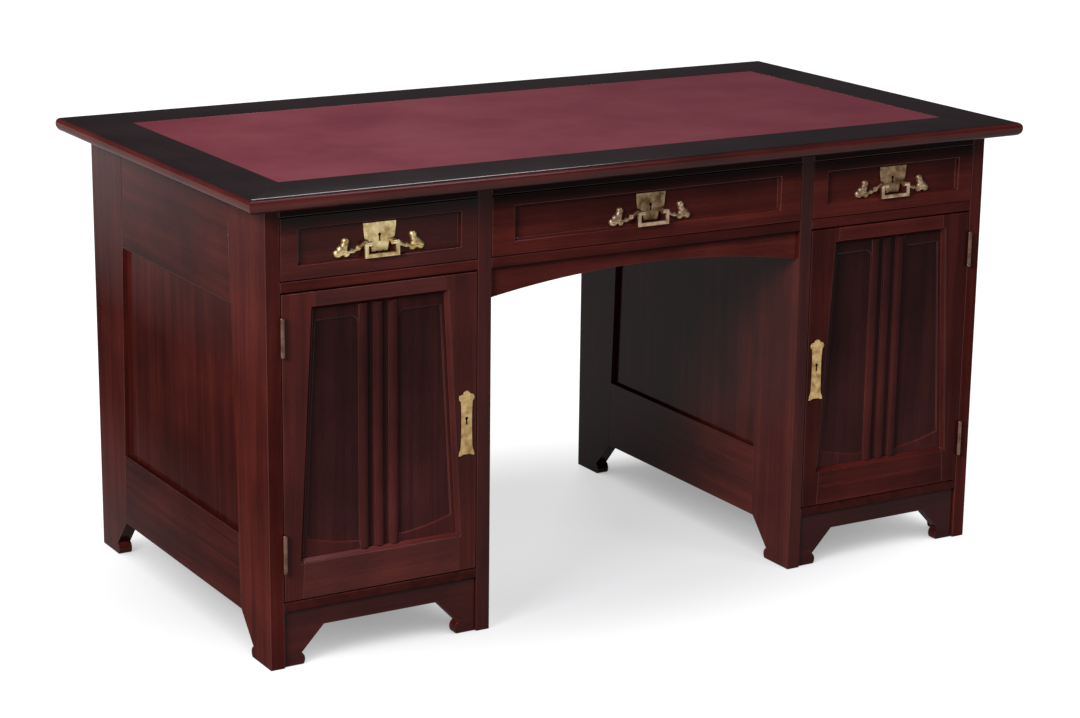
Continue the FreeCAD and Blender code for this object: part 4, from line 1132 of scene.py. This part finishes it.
studio = bpy.data.worlds.new("white_studio")
studio.use_nodes = True
studio.node_tree.nodes.clear()
backdrop = add(studio.node_tree, "Background", {"Color": colour("#ffffff"), "Strength": ROOM_LIGHT})
add(studio.node_tree, "OutputWorld", {"Surface": backdrop})
bpy.context.scene.world = studio
print("room light:", ROOM_LIGHT)

# %% [markdown]
# Three soft lamps make plain studio light. The key at the left front models the left end and throws the
# shadow to the right. A long strip hangs high in front; sloping ledges and rounded edges mirror it towards
# the camera as fine bright lines, and the overhang of the top keeps it off the drawers' upper edge. A third
# lamp lights the back and the right end, for anyone who walks around the desk. It hangs so high that the
# polished top doesn't mirror it into the camera.

# %% Lamps


def softbox(name, place, aim, size, power, tint="#ffffff"):
    """Large soft lamp that faces a point; sizes in metres, power in watts."""
    lamp = bpy.data.lights.new(name, "AREA")
    lamp.shape = "RECTANGLE"
    lamp.size, lamp.size_y = size
    lamp.energy = power
    lamp.color = colour(tint)[:3]
    carrier = bpy.data.objects.new(name, lamp)
    carrier.location = place
    carrier.rotation_euler = (Vector(aim) - Vector(place)).to_track_quat("-Z", "Y").to_euler()
    bpy.context.scene.collection.objects.link(carrier)


softbox("key_softbox", place=(-4.6, -2.3, 3.0), aim=(0.0, 0.0, 0.4), size=(2.0, 1.8), power=320.0)
softbox("strip_softbox", place=(1.15, -2.2, 3.4), aim=(0.0, 0.0, 0.5), size=(0.6, 2.4), power=42.0,
        tint="#e9eeff")
softbox("back_softbox", place=(2.2, 3.8, 4.2), aim=(0.0, 0.0, 0.4), size=(1.6, 1.6), power=155.0)

# %% [markdown]
# ## Camera
# The camera's place, lens and tilt were worked out from the corners of the top, the leather and the feet in
# the photograph: a long lens, a little above the desk, from its left front.

# %% Camera
CAMERA_PLACE = Vector((-2.3729, -3.9966, 1.5927))
CAMERA_AIM = Vector((0.0005, 0.0, 0.3427))
CAMERA_ROLL = math.radians(0.70)
LENS = 88.7
SENSOR_WIDTH = 36.0

camera_data = bpy.data.cameras.new("photograph_camera")
camera_data.lens = LENS
camera_data.sensor_width = SENSOR_WIDTH
camera = bpy.data.objects.new("photograph_camera", camera_data)
camera.location = CAMERA_PLACE
camera.rotation_euler = (CAMERA_AIM - CAMERA_PLACE).to_track_quat("-Z", "Y").to_euler()
camera.rotation_euler.rotate_axis("Z", CAMERA_ROLL)
bpy.context.scene.collection.objects.link(camera)
bpy.context.scene.camera = camera
bpy.context.scene.view_settings.view_transform = "Standard"
print("camera", round((CAMERA_AIM - CAMERA_PLACE).length, 2), "m from its aim")
